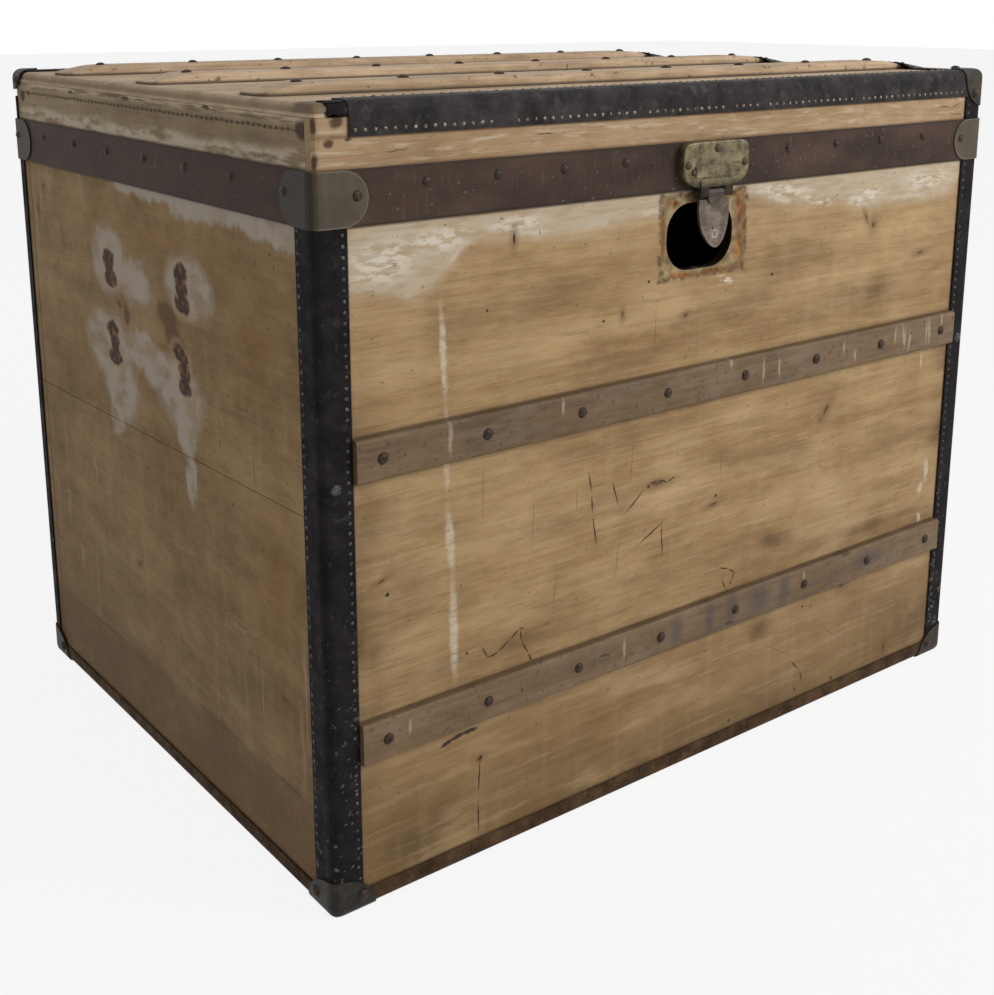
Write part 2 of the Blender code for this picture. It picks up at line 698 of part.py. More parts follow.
def lid_leaf_mesh():
    """Leaf on the lid's band, in line with the barrel's inner side."""
    axis_y = OVER_BAND + BARREL_RADIUS
    plate_low = BARREL_RADIUS + RUNNING_GAP
    inner, outer = OVER_BAND, OVER_BAND + LEAF
    bm = leaf_plate(inner, outer, plate_low, LID_LEAF_HEIGHT, LID_LEAF_HEIGHT)
    # The barrel's skin runs round to the plate's outer face.
    meet = math.degrees(math.acos((LEAF - BARREL_RADIUS) / BARREL_RADIUS))
    web = arc((axis_y, 0.0), BARREL_RADIUS - CLEAR, 180, 360 + meet, BARREL_STEPS)
    web += [(outer - CLEAR, plate_low + LEAF), (inner + CLEAR, plate_low + LEAF)]
    for low, high in knuckle_spans()[1::2]:
        bm = combine(bm, ("UNION", prism(web, "X", low, high)))
    bm = combine(bm, ("DIFFERENCE", hinge_bore(axis_y)))
    return finished_mesh("hinge_leaf_lid", bm, 40)


def hinge_bore(axis_y):
    return prism(ring((axis_y, 0.0), PIN_RADIUS + GAP, BARREL_STEPS), "X",
                 -HINGE_WIDTH, HINGE_WIDTH)


def turned_pin(radius, head_radius, head, length, steps=BARREL_STEPS):
    """A pin along X with a flat head at each end."""
    half = length / 2
    profile = ((-half - head, head_radius), (-half, head_radius), (-half, radius),
               (half, radius), (half, head_radius), (half + head, head_radius))
    sections = []
    for x, r in profile:
        sections.append([(x, a, b) for a, b in ring((0.0, 0.0), r, steps)])
    return loft(sections)


def make_hinges(steel, lid_joint):
    case_leaf = case_leaf_mesh()
    lid_leaf = lid_leaf_mesh()
    length = HINGE_WIDTH + 2 * GAP
    pin = finished_mesh("hinge_pin", turned_pin(PIN_RADIUS, PIN_HEAD_RADIUS, PIN_HEAD, length), 40)
    for name, x in (("left", -HINGE_SPACING / 2), ("right", HINGE_SPACING / 2)):
        location = (x, DEPTH / 2, SEAM_Z)
        place(f"hinge_leaf_case_{name}", case_leaf, steel, location)
        place(f"hinge_leaf_lid_{name}", lid_leaf, steel, location, 0, lid_joint)
        place(f"hinge_pin_{name}", pin, steel, (x, HINGE_AXIS[1], HINGE_AXIS[2]))


def dome(centre, radius, rise):
    """A rivet head that stands out along -Y from its centre and reaches a little behind it."""
    bm = bmesh.new()
    bmesh.ops.create_uvsphere(bm, u_segments=12, v_segments=6, radius=1.0)
    bmesh.ops.scale(bm, vec=(radius, rise, radius), verts=bm.verts)
    bmesh.ops.translate(bm, vec=centre, verts=bm.verts)
    return bm


def superellipse(angle, power, half_width, half_height):
    """Point of a squared-off ellipse."""
    x, z = math.cos(angle), math.sin(angle)
    return (math.copysign(abs(x) ** (2 / power), x) * half_width,
            math.copysign(abs(z) ** (2 / power), z) * half_height)


def plate_outline():
    """The cast plate's outline, as tall as the band: nearly square above, round below."""
    points = []
    for i in range(CAP_STEPS):
        angle = 2 * math.pi * (i + 0.5) / CAP_STEPS
        power = PLATE_TOP_POWER if math.sin(angle) > 0 else PLATE_FOOT_POWER
        x, z = superellipse(angle, power, PLATE_WIDTH / 2, BAND_HEIGHT / 2)
        points.append((LOCK_X + x, LID_Z + BAND_HEIGHT / 2 + z))
    return points


def lock_plate_mesh():
    """Cast plate with a plain raised bar, rivet heads and two ears for the tongue."""
    back = -DEPTH / 2 - OVER_BAND
    front = back - PLATE_THICKNESS
    bm = prism(plate_outline(), "Y", back, front)
    round_edges(bm, PLATE_ROUND, lambda e: edge_middle(e).y < front + 1e-6, 2)
    bar = block((BAR_WIDTH, BAR_RISE + SUNK, BAR_HEIGHT),
                (LOCK_X, front - (BAR_RISE - SUNK) / 2, BAND_TOP_Z - BAR_BELOW_TOP))
    round_edges(bar, BAR_RISE / 3, lambda e: edge_middle(e).y < front - BAR_RISE / 2, 2)
    bm = combine(bm, ("UNION", bar))
    # The ears are round under the pin and flat in front.
    axis_y, axis_z = HASP_AXIS[1], HASP_AXIS[2]
    radius = EAR_RADIUS - CLEAR
    ears = arc((axis_y, axis_z), radius, 180, 360, BARREL_STEPS // 2)
    ears += [(axis_y + radius, LID_Z + 2 * SUNK), (front + SUNK, axis_z + EAR_TOP),
             (axis_y - radius, axis_z + EAR_TOP - SUNK)]
    bm = combine(bm, ("UNION", prism(ears, "X", LOCK_X - EAR_SPAN / 2, LOCK_X + EAR_SPAN / 2)))
    for x, z, size in RIVETS:
        bm = combine(bm, ("UNION", dome((LOCK_X + x, front, LID_Z + z), size, RIVET_RISE)))
    slot_high = axis_z + EAR_RADIUS + RUNNING_GAP
    slot_low = axis_z - 2 * EAR_RADIUS
    slot = block((EAR_GAP, 6 * EAR_RADIUS, slot_high - slot_low),
                 (LOCK_X, axis_y, (slot_low + slot_high) / 2))
    bore = prism(ring((axis_y, axis_z), HASP_PIN_RADIUS + GAP, LOBE_STEPS), "X",
                 LOCK_X - EAR_SPAN, LOCK_X + EAR_SPAN)
    bm = combine(bm, ("DIFFERENCE", slot), ("DIFFERENCE", bore))
    return finished_mesh("lock_plate", bm, 35)


def tongue_blade():
    """The tongue's flat part, bent outwards towards its tip."""
    half = TONGUE_WIDTH / 2
    run = TONGUE_LENGTH - TONGUE_SHOULDER
    straight = TONGUE_SHOULDER + TONGUE_STRAIGHT * run
    side = [(half, -TONGUE_SHOULDER)]
    for i in range(TIP_STEPS):
        angle = math.pi / 2 * i / TIP_STEPS
        x, z = superellipse(angle, TONGUE_TIP_POWER, half, TONGUE_LENGTH - straight)
        side.append((x, -straight - z))
    outline = side + [(0.0, -TONGUE_LENGTH)] + [(-x, z) for x, z in reversed(side)]
    bm = prism(outline, "Y", -TONGUE_THICKNESS / 2, TONGUE_THICKNESS / 2)
    bmesh.ops.triangulate(bm, faces=[f for f in bm.faces if len(f.verts) > 4])
    for i in range(1, BEND_STEPS):
        height = -TONGUE_SHOULDER - run * i / BEND_STEPS
        bmesh.ops.bisect_plane(bm, geom=bm.verts[:] + bm.edges[:] + bm.faces[:],
                               plane_co=(0, 0, height), plane_no=(0, 0, 1))
    for vert in bm.verts:
        share = (-vert.co.z - TONGUE_SHOULDER) / run
        vert.co.y -= TONGUE_TURN_OUT * max(0.0, share) ** 2
    return bm


def tongue_mesh():
    """The hasp tongue in its own frame: axis at the origin, hanging down, front at -Y."""
    # The knuckle between the ears runs down the blade's front as a round-ended lobe.
    half = EAR_GAP / 2 - GAP
    radius = EAR_RADIUS - GAP
    front = -TONGUE_THICKNESS / 2
    section = arc((0.0, 0.0), radius, -60, 200, LOBE_STEPS)
    section += [(front - LOBE_RISE, -LOBE_LENGTH - CLEAR), (0.0, -LOBE_LENGTH - CLEAR)]
    around = arc((0.0, half - LOBE_LENGTH), half + CLEAR, 180, 360, LOBE_STEPS)
    around += [(half + CLEAR, 2 * radius), (-half - CLEAR, 2 * radius)]
    lobe = combine(prism(section, "X", -half, half), ("INTERSECT", prism(around, "Y", -half, half)))
    stamp_share = (TONGUE_STAMP_AT - TONGUE_SHOULDER) / (TONGUE_LENGTH - TONGUE_SHOULDER)
    stamp_face = front - TONGUE_TURN_OUT * stamp_share ** 2
    stamp = block((TONGUE_STAMP, TONGUE_STAMP_RISE + SUNK, TONGUE_STAMP),
                  (0, stamp_face - (TONGUE_STAMP_RISE - SUNK) / 2, -TONGUE_STAMP_AT))
    bore = prism(ring((0.0, 0.0), HASP_PIN_RADIUS + GAP, LOBE_STEPS), "X", -EAR_GAP, EAR_GAP)
    bm = combine(tongue_blade(), ("UNION", lobe), ("UNION", stamp), ("DIFFERENCE", bore))
    return finished_mesh("hasp_tongue", bm, 35)


def make_lock_fittings(brass, iron, lid_joint, hasp_joint):
    place("lock_plate", lock_plate_mesh(), brass, carrier=lid_joint)
    place("hasp_tongue", tongue_mesh(), iron, HASP_AXIS, 0, hasp_joint)
    pin = turned_pin(HASP_PIN_RADIUS, HASP_PIN_HEAD_RADIUS, HASP_PIN_HEAD, EAR_SPAN + 2 * GAP,
                     LOBE_STEPS)
    place("hasp_pin", finished_mesh("hasp_pin", pin, 40), iron, HASP_AXIS, 0, lid_joint)


def build_trunk():
    clear_scene()
    poplar = make_material("bare poplar", "#a38a63", 0.85)
    batten_wood = make_material("weathered beech", "#7a6856", 0.8)
    leather = make_material("black leather", "#2e2b2a", 0.6)
    fibre = make_material("vulcanised fibre", "#4a3a34", 0.7)
    steel = make_material("painted pressed steel", "#574e43", 0.55, 0.4)
    brass = make_material("patinated cast brass", "#8a8463", 0.5, 0.7)
    iron = make_material("dull cast iron", "#6f6861", 0.6, 0.6)

    lid_joint = joint_empty("lid_axis", HINGE_AXIS)
    hasp_joint = joint_empty("hasp_axis", HASP_AXIS, lid_joint)

    make_case_boards(poplar)
    make_lip_strips(poplar)
    make_wall_battens(batten_wood)
    make_base_bindings(leather)
    make_corner_leather(leather, lid_joint)
    make_corner_caps(steel, lid_joint)
    make_lid_boards(poplar, lid_joint)
    make_lid_bindings(leather, lid_joint)
    make_band_and_brackets(fibre, steel, lid_joint)
    make_hinges(steel, lid_joint)
    make_lock_fittings(brass, iron, lid_joint, hasp_joint)


build_trunk()
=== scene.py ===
# %% [markdown]
# # An old travel trunk, from bare frame to finished picture
#
# The trunk is a nailed box of pale poplar boards. Folded leather strips guard its corners, a
# band of vulcanised fibre runs round the lid, and hardwood battens guard its front and top.
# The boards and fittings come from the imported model, already in place. This script gives
# each one its finish and adds what is too small for that model: nails, tacks, screws and a
# scrap of torn leather.

# %% Load the frame
import json
import math
import random

import bmesh
import bpy
from mathutils import Matrix, Vector
from mathutils.bvhtree import BVHTree


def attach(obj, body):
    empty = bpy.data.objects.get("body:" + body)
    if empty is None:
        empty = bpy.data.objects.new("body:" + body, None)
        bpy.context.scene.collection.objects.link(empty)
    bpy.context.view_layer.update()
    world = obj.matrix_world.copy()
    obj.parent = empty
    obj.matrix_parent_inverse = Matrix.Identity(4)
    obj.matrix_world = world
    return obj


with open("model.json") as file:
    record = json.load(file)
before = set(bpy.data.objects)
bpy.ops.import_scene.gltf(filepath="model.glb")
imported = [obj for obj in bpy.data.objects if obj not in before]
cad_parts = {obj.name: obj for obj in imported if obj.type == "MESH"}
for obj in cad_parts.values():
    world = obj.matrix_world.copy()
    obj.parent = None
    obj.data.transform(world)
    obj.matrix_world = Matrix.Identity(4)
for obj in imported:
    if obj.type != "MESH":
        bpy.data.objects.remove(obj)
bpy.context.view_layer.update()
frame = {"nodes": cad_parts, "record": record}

NODES = frame["nodes"]
BODY_OF = {node: body for body, members in frame["record"]["behaviour"]["bodies"].items()
           for node in members}

# %% Lines of the trunk that the finishes follow, in millimetres from its middle and the floor
HALF_LENGTH, HALF_DEPTH = 400.5, 306.0     # to the boards' outer faces
LENGTH_INSIDE_STRIPS = 374.5               # half the wood between the corner strips, front
DEPTH_INSIDE_STRIPS = 280.0                # the same at the ends
NO_STRIP = 500.0                           # a line off the trunk, where no strip stands
FOOT_STRIP_TOP = 18.9
LOWER_BATTEN, UPPER_BATTEN = (132.1, 167.1), (367.6, 402.6)
BAND_LOW, BAND_MIDDLE, BAND_HIGH = 563.6, 584.8, 605.7
LID_STRIP_LOW = 629.1
LID_ROW = 633.6                            # the row of tacks along the lid's edge strips
TACK_PITCH = 8.8
BATTEN_ROWS = (-197.0, 0.0, 197.0)         # the lid's battens, from front to back

# %% [markdown]
# ## Camera
#
# The photograph looks at the front and the left end from a little above the lid. Its upright
# edges stay parallel, which a lens gives when the camera is kept level and the picture is
# shifted. Here most of that is done by pitching the camera down, and only a small shift is
# left, so that views from other sides aren't pushed out of the frame.

# %% Camera
PICTURE_SIDE = 995            # pixels of the picture's longer side
FOCAL_PIXELS = 1387           # found by matching the trunk's corners with the photograph
CAMERA_PITCH = 13.32          # degrees down from the horizon
CAMERA_YAW = 37.48            # degrees to the right of the trunk's own depth
CAMERA_SHIFT = -0.165         # share of the picture's longer side
CAMERA_PLACE = (-0.894, -1.164, 0.721)

camera_data = bpy.data.cameras.new("camera")
camera_data.lens = camera_data.sensor_width * FOCAL_PIXELS / PICTURE_SIDE
camera_data.shift_y = CAMERA_SHIFT
camera = bpy.data.objects.new("camera", camera_data)
camera.location = CAMERA_PLACE
camera.rotation_euler = (math.radians(90 - CAMERA_PITCH), 0, -math.radians(CAMERA_YAW))
bpy.context.scene.collection.objects.link(camera)
bpy.context.scene.camera = camera
print("lens in mm:", round(camera_data.lens, 2))

# %% [markdown]
# ## Nodes
#
# A material is a small network of nodes. One function adds a node, sets it up and links it,
# so the finishes below read like recipes. Colours are written as they look on a screen and
# turned to the linear values that light is counted in.

# %% A material and its one node function
SMOOTH = "SMOOTHSTEP"         # a soft edge without a visible start or end


def colour(text):
    """The linear colour of an sRGB hex value."""
    values = [int(text[i:i + 2], 16) / 255 for i in (1, 3, 5)]
    values = [v / 12.92 if v <= 0.04045 else ((v + 0.055) / 1.055) ** 2.4 for v in values]
    return (*values, 1.0)


def adder(tree):
    """The function that adds a node to this tree, with its settings and links."""
    def add(kind, inputs=None, stops=None, points=None, **settings):
        node = tree.nodes.new("ShaderNode" + kind)
        for key, value in settings.items():
            setattr(node, key, value)
        if stops:
            elements = node.color_ramp.elements
            elements[0].position, elements[1].position = stops[0][0], stops[-1][0]
            elements[0].color, elements[1].color = colour(stops[0][1]), colour(stops[-1][1])
            for position, shade in stops[1:-1]:
                elements.new(position).color = colour(shade)
        if points:
            curve = node.mapping.curves[0]
            curve.points[0].location, curve.points[1].location = points[0], points[-1]
            for x, y in points[1:-1]:
                curve.points.new(x, y)
            for point in curve.points:
                point.handle_type = "VECTOR"
            node.mapping.update()
        for key, value in (inputs or {}).items():
            by_name = (s for s in node.inputs if s.enabled and s.name == key)
            socket = node.inputs[key] if isinstance(key, int) else next(by_name)
            if isinstance(value, bpy.types.Node):
                value = next(s for s in value.outputs if s.enabled)
            if isinstance(value, bpy.types.NodeSocket):
                tree.links.new(value, socket)
            else:
                socket.default_value = colour(value) if isinstance(value, str) else value
        return node
    return add


# %% The start and the end of every finish
finished = set()


def start_finish(name):
    """A new material, its node function, and the place on the trunk in millimetres."""
    material = bpy.data.materials.new(name)
    material.use_nodes = True
    material.node_tree.nodes.clear()
    add = adder(material.node_tree)
    place = add("VectorMath", {0: add("TexCoord").outputs["Object"], "Scale": 1000.0},
                operation="SCALE")
    return material, add, place


def close_finish(add, base, rough, height, depth, **sockets):
    """Ends a recipe: the shader, with its relief given in metres."""
    bump = add("Bump", {"Height": height, "Distance": depth, "Strength": 1.0})
    inputs = {"Base Color": base, "Roughness": rough, "Normal": bump}
    inputs.update({name.replace("_", " "): value for name, value in sockets.items()})
    shader = add("BsdfPrincipled", inputs)
    add("OutputMaterial", {"Surface": shader})


def dress(material, *starts):
    """Gives a finish to the CAD nodes whose names start in one of these ways."""
    names = [name for name in NODES if name.startswith(starts)]
    for name in names:
        slots = NODES[name].data.materials
        slots.clear()
        slots.append(material)
    finished.update(names)
    print(material.name, "on", len(names), "CAD nodes, made of",
          len(material.node_tree.nodes), "shader nodes")


# %% [markdown]
# ## Light and floor
#
# A large soft lamp stands at the front right, as in the photograph, where the front is about
# twice as bright as the left end. A weaker one fills the left, and the surroundings light
# everything evenly. The background is white only for the camera and for reflections, so it
# adds no light. The floor is the same white mixed with its own lit surface, which keeps a
# faint shadow under the trunk.

# %% Surroundings
AMBIENT = 0.37                # strength of the even light


def seen_by(add, *rays):
    """1 for the rays of these kinds, 0 for those that carry light."""
    path = add("LightPath")
    seen = path.outputs[f"Is {rays[0]} Ray"]
    for ray in rays[1:]:
        seen = add("Math", {0: seen, 1: path.outputs[f"Is {ray} Ray"]}, operation="MAXIMUM")
    return seen


world = bpy.data.worlds.new("studio")
bpy.context.scene.world = world
world.use_nodes = True
world.node_tree.nodes.clear()
add = adder(world.node_tree)
strength = add("MapRange", {"Value": seen_by(add, "Camera", "Glossy", "Transmission"),
                            "To Min": AMBIENT, "To Max": 1.0})
add("OutputWorld", {"Surface": add("Background", {"Color": "#ffffff", "Strength": strength})})


# %% Lamps
def lamp(name, place, target, side, watts):
    """A square soft lamp that is aimed at a point."""
    data = bpy.data.lights.new(name, "AREA")
    data.shape = "SQUARE"
    data.size = side
    data.energy = watts
    lamp_object = bpy.data.objects.new(name, data)
    lamp_object.location = place
    aim = Vector(target) - Vector(place)
    lamp_object.rotation_euler = aim.to_track_quat("-Z", "Y").to_euler()
    bpy.context.scene.collection.objects.link(lamp_object)
    print(name, "lamp:", watts, "W,", round(aim.length, 2), "m away")


lamp("key", (1.5, -2.6, 2.0), (0.0, -0.1, 0.35), 1.6, 66.0)
lamp("fill", (-2.6, -1.0, 1.6), (0.0, 0.0, 0.35), 1.8, 4.0)

# %% Floor
FLOOR_SIDE = 40.0
FLOOR_WHITE = 0.88            # share of the plain white in what the camera sees
floor_bm = bmesh.new()
bmesh.ops.create_grid(floor_bm, x_segments=1, y_segments=1, size=FLOOR_SIDE / 2)
floor_mesh = bpy.data.meshes.new("floor")
floor_bm.to_mesh(floor_mesh)
floor_bm.free()
floor = bpy.data.objects.new("floor", floor_mesh)
bpy.context.scene.collection.objects.link(floor)

floor_white, add, place = start_finish("matt_white_studio_floor")
seen = add("Math", {0: seen_by(add, "Camera", "Glossy"), 1: FLOOR_WHITE},
           operation="MULTIPLY")
lit = add("BsdfDiffuse", {"Color": "#dddbd7"})
plain = add("Emission", {"Color": "#ffffff", "Strength": 1.0})
add("OutputMaterial", {"Surface": add("MixShader", {"Fac": seen, 1: lit, 2: plain})})
floor_mesh.materials.append(floor_white)
bpy.context.scene.view_settings.view_transform = "Standard"

# %% [markdown]
# ## Colour in layers
#
# Every finish here is built like a painter's: a ground, then thin layers, each laid on through
# a mask. A mask is a number from 0 to 1 over the surface. Most masks are noise or a distance
# that is stretched between two levels: none of the colour at one, all of it at the other. An
# image could hold the same layers, but it would need unwrapped pieces and would blur close up.

# %% Layers
def laid_on(add, base, shade, *masks):
    """A colour laid on another through the product of masks and strengths."""
    mask = masks[0]
    for factor in masks[1:]:
        mask = add("Math", {0: mask, 1: factor}, operation="MULTIPLY")
    return add("Mix", {"Factor": mask, "A": base, "B": shade}, data_type="RGBA")


def tinted(add, base, shade, pattern, none_at, full_at, most=1.0, blend="LINEAR"):
    """A colour laid on where a pattern passes between two levels."""
    mask = add("MapRange", {"Value": pattern, "From Min": none_at, "From Max": full_at,
                            "To Max": most}, interpolation_type=blend)
    return laid_on(add, base, shade, mask)


def away(add, value, level):
    """How far a value is from a level, on either side of it."""
    return add("Math", {0: add("Math", {0: value, 1: level}, operation="SUBTRACT")},
               operation="ABSOLUTE")


def relief(add, fibres, share, *layers):
    """Height of a surface: fine fibres, with masks that rise above it or cut into it."""
    height = add("Math", {0: fibres, 1: share}, operation="MULTIPLY")
    for mask, rise in layers:
        height = add("Math", {0: mask, 1: rise, 2: height}, operation="MULTIPLY_ADD")
    return height


# %% Patterns of noise
def per(*sizes):
    """Pattern scale that makes its features this big, in millimetres."""
    return tuple(1.0 / size for size in sizes)


def cloud(add, place, sizes, detail, rough=0.5):
    """Noise with features of these sizes along X, Y and Z."""
    local = add("Mapping", {"Vector": place, "Scale": per(*sizes)})
    return add("TexNoise", {"Vector": local, "Scale": 1.0, "Detail": detail,
                            "Roughness": rough})


def mottled(add, place, size, detail, rough, tones, levels=(0.36, 0.50, 0.66)):
    """Clouds of three tones, with features of one size: the noise and its colour."""
    clouds = add("TexNoise", {"Vector": place, "Scale": 1 / size, "Detail": detail,
                              "Roughness": rough})
    return clouds, add("ValToRGB", {"Fac": clouds}, stops=list(zip(levels, tones)))


def specks(add, base, shade, place, size, low, strength):
    """Small dots of a colour where fine noise peaks above a level."""
    noise = add("TexNoise", {"Vector": place, "Scale": 1 / size, "Detail": 1.0})
    return tinted(add, base, shade, noise, low, low + 0.05, strength)


# %% [markdown]
# ## Marks on a surface
#
# Age shows in marks that sit in one place: a stain, a crack, a drip. Each is an oval, stated
# in millimetres by its middle, its half sizes and its turn. The nodes find how far a point is
# from each oval's middle, counted in half sizes, and keep the nearest, so any number of marks
# ends in one number: below 1 inside a mark. The place is shaken by noise first, which frays
# the outlines. A mark could also be a cut in the mesh, but most are no deeper than paint.

# %% Ovals and strokes
FLAT = 1e6                    # half size along the axis that looks into the surface


def ovals(add, place, side, marks):
    """Distance to the nearest oval (across, up, half across, half up, degrees of turn)."""
    nearest = None
    for across, up, half_across, half_up, turn in marks:
        angle = math.radians(turn)
        if side == "front":
            centre, size, spin = (across, 0, up), (half_across, FLAT, half_up), (0, -angle, 0)
        else:
            centre, size, spin = (0, across, up), (FLAT, half_across, half_up), (angle, 0, 0)
        local = add("Mapping", {"Vector": place, "Location": centre, "Rotation": spin,
                                "Scale": size}, vector_type="TEXTURE")
        reach = add("VectorMath", {0: local}, operation="LENGTH").outputs["Value"]
        if nearest is not None:
            reach = add("Math", {0: nearest, 1: reach}, operation="MINIMUM")
        nearest = reach
    return nearest


def strokes(half_width, *lines):
    """Ovals along polylines: each piece is a long thin oval that overlaps the next."""
    marks = []
    for line in lines:
        for (x0, z0), (x1, z1) in zip(line, line[1:]):
            length = math.hypot(x1 - x0, z1 - z0)
            turn = math.degrees(math.atan2(z1 - z0, x1 - x0))
            marks.append(((x0 + x1) / 2, (z0 + z1) / 2, 0.56 * length + half_width,
                          half_width, turn))
    return marks


def shaken(add, place, size, reach):
    """The place, shaken by noise of this grain size, up to this many millimetres."""
    noise = add("TexNoise", {"Vector": place, "Scale": 1.0 / size, "Detail": 3.0})
    centred = add("VectorMath", {0: noise.outputs["Color"], 1: (0.5, 0.5, 0.5)},
                  operation="SUBTRACT")
    moved = add("VectorMath", {0: centred, "Scale": 2.0 * reach}, operation="SCALE")
    return add("VectorMath", {0: place, 1: moved}, operation="ADD")


# %% What marks do to a colour
def inside(add, place, side, marks, soft):
    """Mask that is 1 inside marks, with this share of soft edge."""
    return add("MapRange", {"Value": ovals(add, place, side, marks), "From Min": 1.0,
                            "From Max": 1.0 - soft}, interpolation_type=SMOOTH)


def marked(add, base, shade, place, side, marks, soft, *strengths):
    """A colour laid on inside marks."""
    return laid_on(add, base, shade, inside(add, place, side, marks, soft), *strengths)


def stained(add, base, place, side, marks):
    """Brown stains laid on a colour: a dark core in a wide soft halo."""
    distance = ovals(add, place, side, marks)
    base = tinted(add, base, "#6f5132", distance, 4.2, 0.8, 0.5, SMOOTH)
    return tinted(add, base, "#453119", distance, 1.1, 0.4, 0.75, SMOOTH)


def square(add, place, x, z, half_x, half_z):
    """Distance from the middle of a rectangle, counted in half sizes: 1 on its outline."""
    local = add("Mapping", {"Vector": place, "Location": (x, 0, z),
                            "Scale": (half_x, FLAT, half_z)}, vector_type="TEXTURE")
    local = add("SeparateXYZ", {0: add("VectorMath", {0: local}, operation="ABSOLUTE")})
    return add("Math", {0: local.outputs["X"], 1: local.outputs["Z"]}, operation="MAXIMUM")


def edge_dirt_and_shade(add, base, shade, place, axis, upright, lines, strength):
    """Dirt and painted shade in a strip of about 3 mm along the fittings' edges, both upright
    and level.
    """
    parts = add("SeparateXYZ", {0: place})
    across = add("Math", {0: parts.outputs[axis]}, operation="ABSOLUTE")
    nearest = away(add, across, upright)
    for line in lines:
        gap = away(add, parts.outputs["Z"], line)
        nearest = add("Math", {0: nearest, 1: gap}, operation="MINIMUM")
    # Darkest at the fittings' edge: dirt and painted shade.
    dirt_and_shade = add("MapRange", {"Value": nearest, "From Min": 2.6, "From Max": 0.4},
                interpolation_type=SMOOTH)
    return laid_on(add, base, shade, dirt_and_shade, strength)


# %% [markdown]
# ## Bare poplar
#
# The boards are poplar, sawn, planed and left bare, and a century of dust and hands has turned
# them tan. Poplar is a quiet wood: broad soft bands a few centimetres wide, streaks of about
# 4 mm, and short dark pores. A Wave texture would draw rings that are too regular for it, so
# all are noise that is stretched along the grain. The same recipe serves the front, whose
# grain runs along X, and the ends, whose grain runs along Y.

# %% Grain
def grain(add, place, along, tones):
    """Colour and fibres of bare wood with its grain along one axis."""
    def stretched(long, wide, detail, rough=0.5):
        sizes = [wide, wide, wide]
        sizes["XYZ".index(along)] = long
        return cloud(add, place, sizes, detail, rough)

    bands = stretched(420, 34, 2.0)
    streaks = stretched(150, 4.0, 3.0)
    # Real fibres are about 0.5 mm apart; 2 mm is the least that shows in the picture.
    fibres = stretched(34, 2.0, 2.0, 0.6)
    blotches = add("TexNoise", {"Vector": place, "Scale": 1 / 75, "Detail": 3.0})
    mottle = stretched(22, 9, 5.0, 0.65)
    tone = relief(add, bands, 0.30, (streaks, 0.13), (fibres, 0.12), (blotches, 0.25),
                  (mottle, 0.20))
    base = add("ValToRGB", {"Fac": tone}, stops=list(zip((0.39, 0.51, 0.63), tones)))
    # Pores: short dark dashes where the fine noise dips.
    return tinted(add, base, tones[0], fibres, 0.38, 0.28, 0.6), fibres


def outer_face(add, place, axis, face):
    """Mask of a board's outer face; the inner face, 10 mm further in, stays clean."""
    depth = add("SeparateXYZ", {0: place}).outputs[axis]
    depth = add("Math", {0: depth}, operation="ABSOLUTE")
    return add("MapRange", {"Value": depth, "From Min": face - 4.0, "From Max": face - 2.5})


POPLAR = ("#8b6d47", "#a6885f", "#b99c73")
POPLAR_END = ("#7f6544", "#967a55", "#a78b64")
RESIDUE = "#bcab93"           # dried paste of the cover that once hid the boards
FLAKE = "#d8cebd"
# The dark of dirt in specks, and of painted shade along the fittings.
GRIME_AND_SHADE = "#4b3b28"

# %% [markdown]
# ## The front board
#
# The front carries the most history. Pale paste residue clings under the lid's band in
# an uneven fringe, with a whiter tide line along its lower rim. Drips run down from it. There
# are short cracks, knots, a gouge and nail holes, and round the lock hole a square of rust
# where the old lock sat. The fringe's lower rim could be a row of ovals too, but it runs the
# whole length, so it is one curve of height over length, drawn in a Float Curve node.

# %% Front board: where things are, in millimetres
FRONT_FRINGE = ((-376, 516), (-356, 517), (-340, 511), (-319, 505), (-300, 512), (-281, 527),
                (-262, 545), (-226, 544), (-162, 538), (-117, 543), (-58, 547), (-40, 560),
                (25, 562), (40, 557), (75, 549), (101, 542), (132, 540), (174, 542),
                (216, 528), (252, 531), (300, 531), (348, 529), (369, 538), (376, 550))
FRONT_DRIPS = strokes(4.4, ((-291, 500), (-287, 413), (-286, 340)))
FRONT_DRIPS += strokes(6.0, ((-286, 330), (-282, 270), (-280, 172)))
FRONT_DRIPS += strokes(1.7, ((331, 366), (332, 344)))
FRONT_DRIPS += [(354, 228, 5, 19, 4), (346, 208, 5, 9, -24), (347, 173, 4, 9, 6)]
# Patches where the paste is thick and white.
FRONT_WHITE = [(-344, 534, 48, 27, 8), (-292, 546, 44, 15, 0), (-215, 552, 44, 8, 0),
               (100, 553, 56, 9, -6), (150, 541, 34, 7, -10), (222, 538, 42, 12, 4),
               (320, 547, 58, 15, 0), (26, 478, 14, 5, -20)]
FRONT_CRACKS = strokes(1.15, ((-252, 197), (-246, 185), (-235, 187), (-222, 195), (-212, 202),
                             (-207, 201)),
                       ((-211, 201), (-210, 190), (-202, 176), (-198, 167)),
                       ((-64, 299), (-52, 302), (-40, 297), (-30, 301)),
                       ((-47, 262), (-44, 222)), ((-68, 297), (-94, 277)),
                       ((-136, 327), (-132, 307), (-131, 287), (-125, 254)),
                       ((-109, 314), (-100, 288)), ((-40, 262), (-80, 242)),
                       ((32, 195), (46, 190), (55, 184), (50, 178), (48, 172)),
                       ((37, 181), (43, 170), (50, 160)),
                       ((144, 63), (159, 49), (165, 33)),
                       ((-254, 97), (-257, 58), (-256, 21)),
                       ((-219, 546), (-219, 534)))
# Fine upright scratches, where things were stood against the front.
FRONT_SCRATCHES = strokes(0.8, ((-250, 366), (-251, 300)), ((-196, 330), (-199, 262)),
                          ((-148, 322), (-150, 288)), ((-84, 350), (-86, 300)),
                          ((-98, 262), (-103, 214)), ((-170, 250), (-176, 206)),
                          ((30, 320), (29, 284)), ((-60, 470), (-61, 412)),
                          ((96, 98), (150, 66)), ((180, 95), (232, 60)))
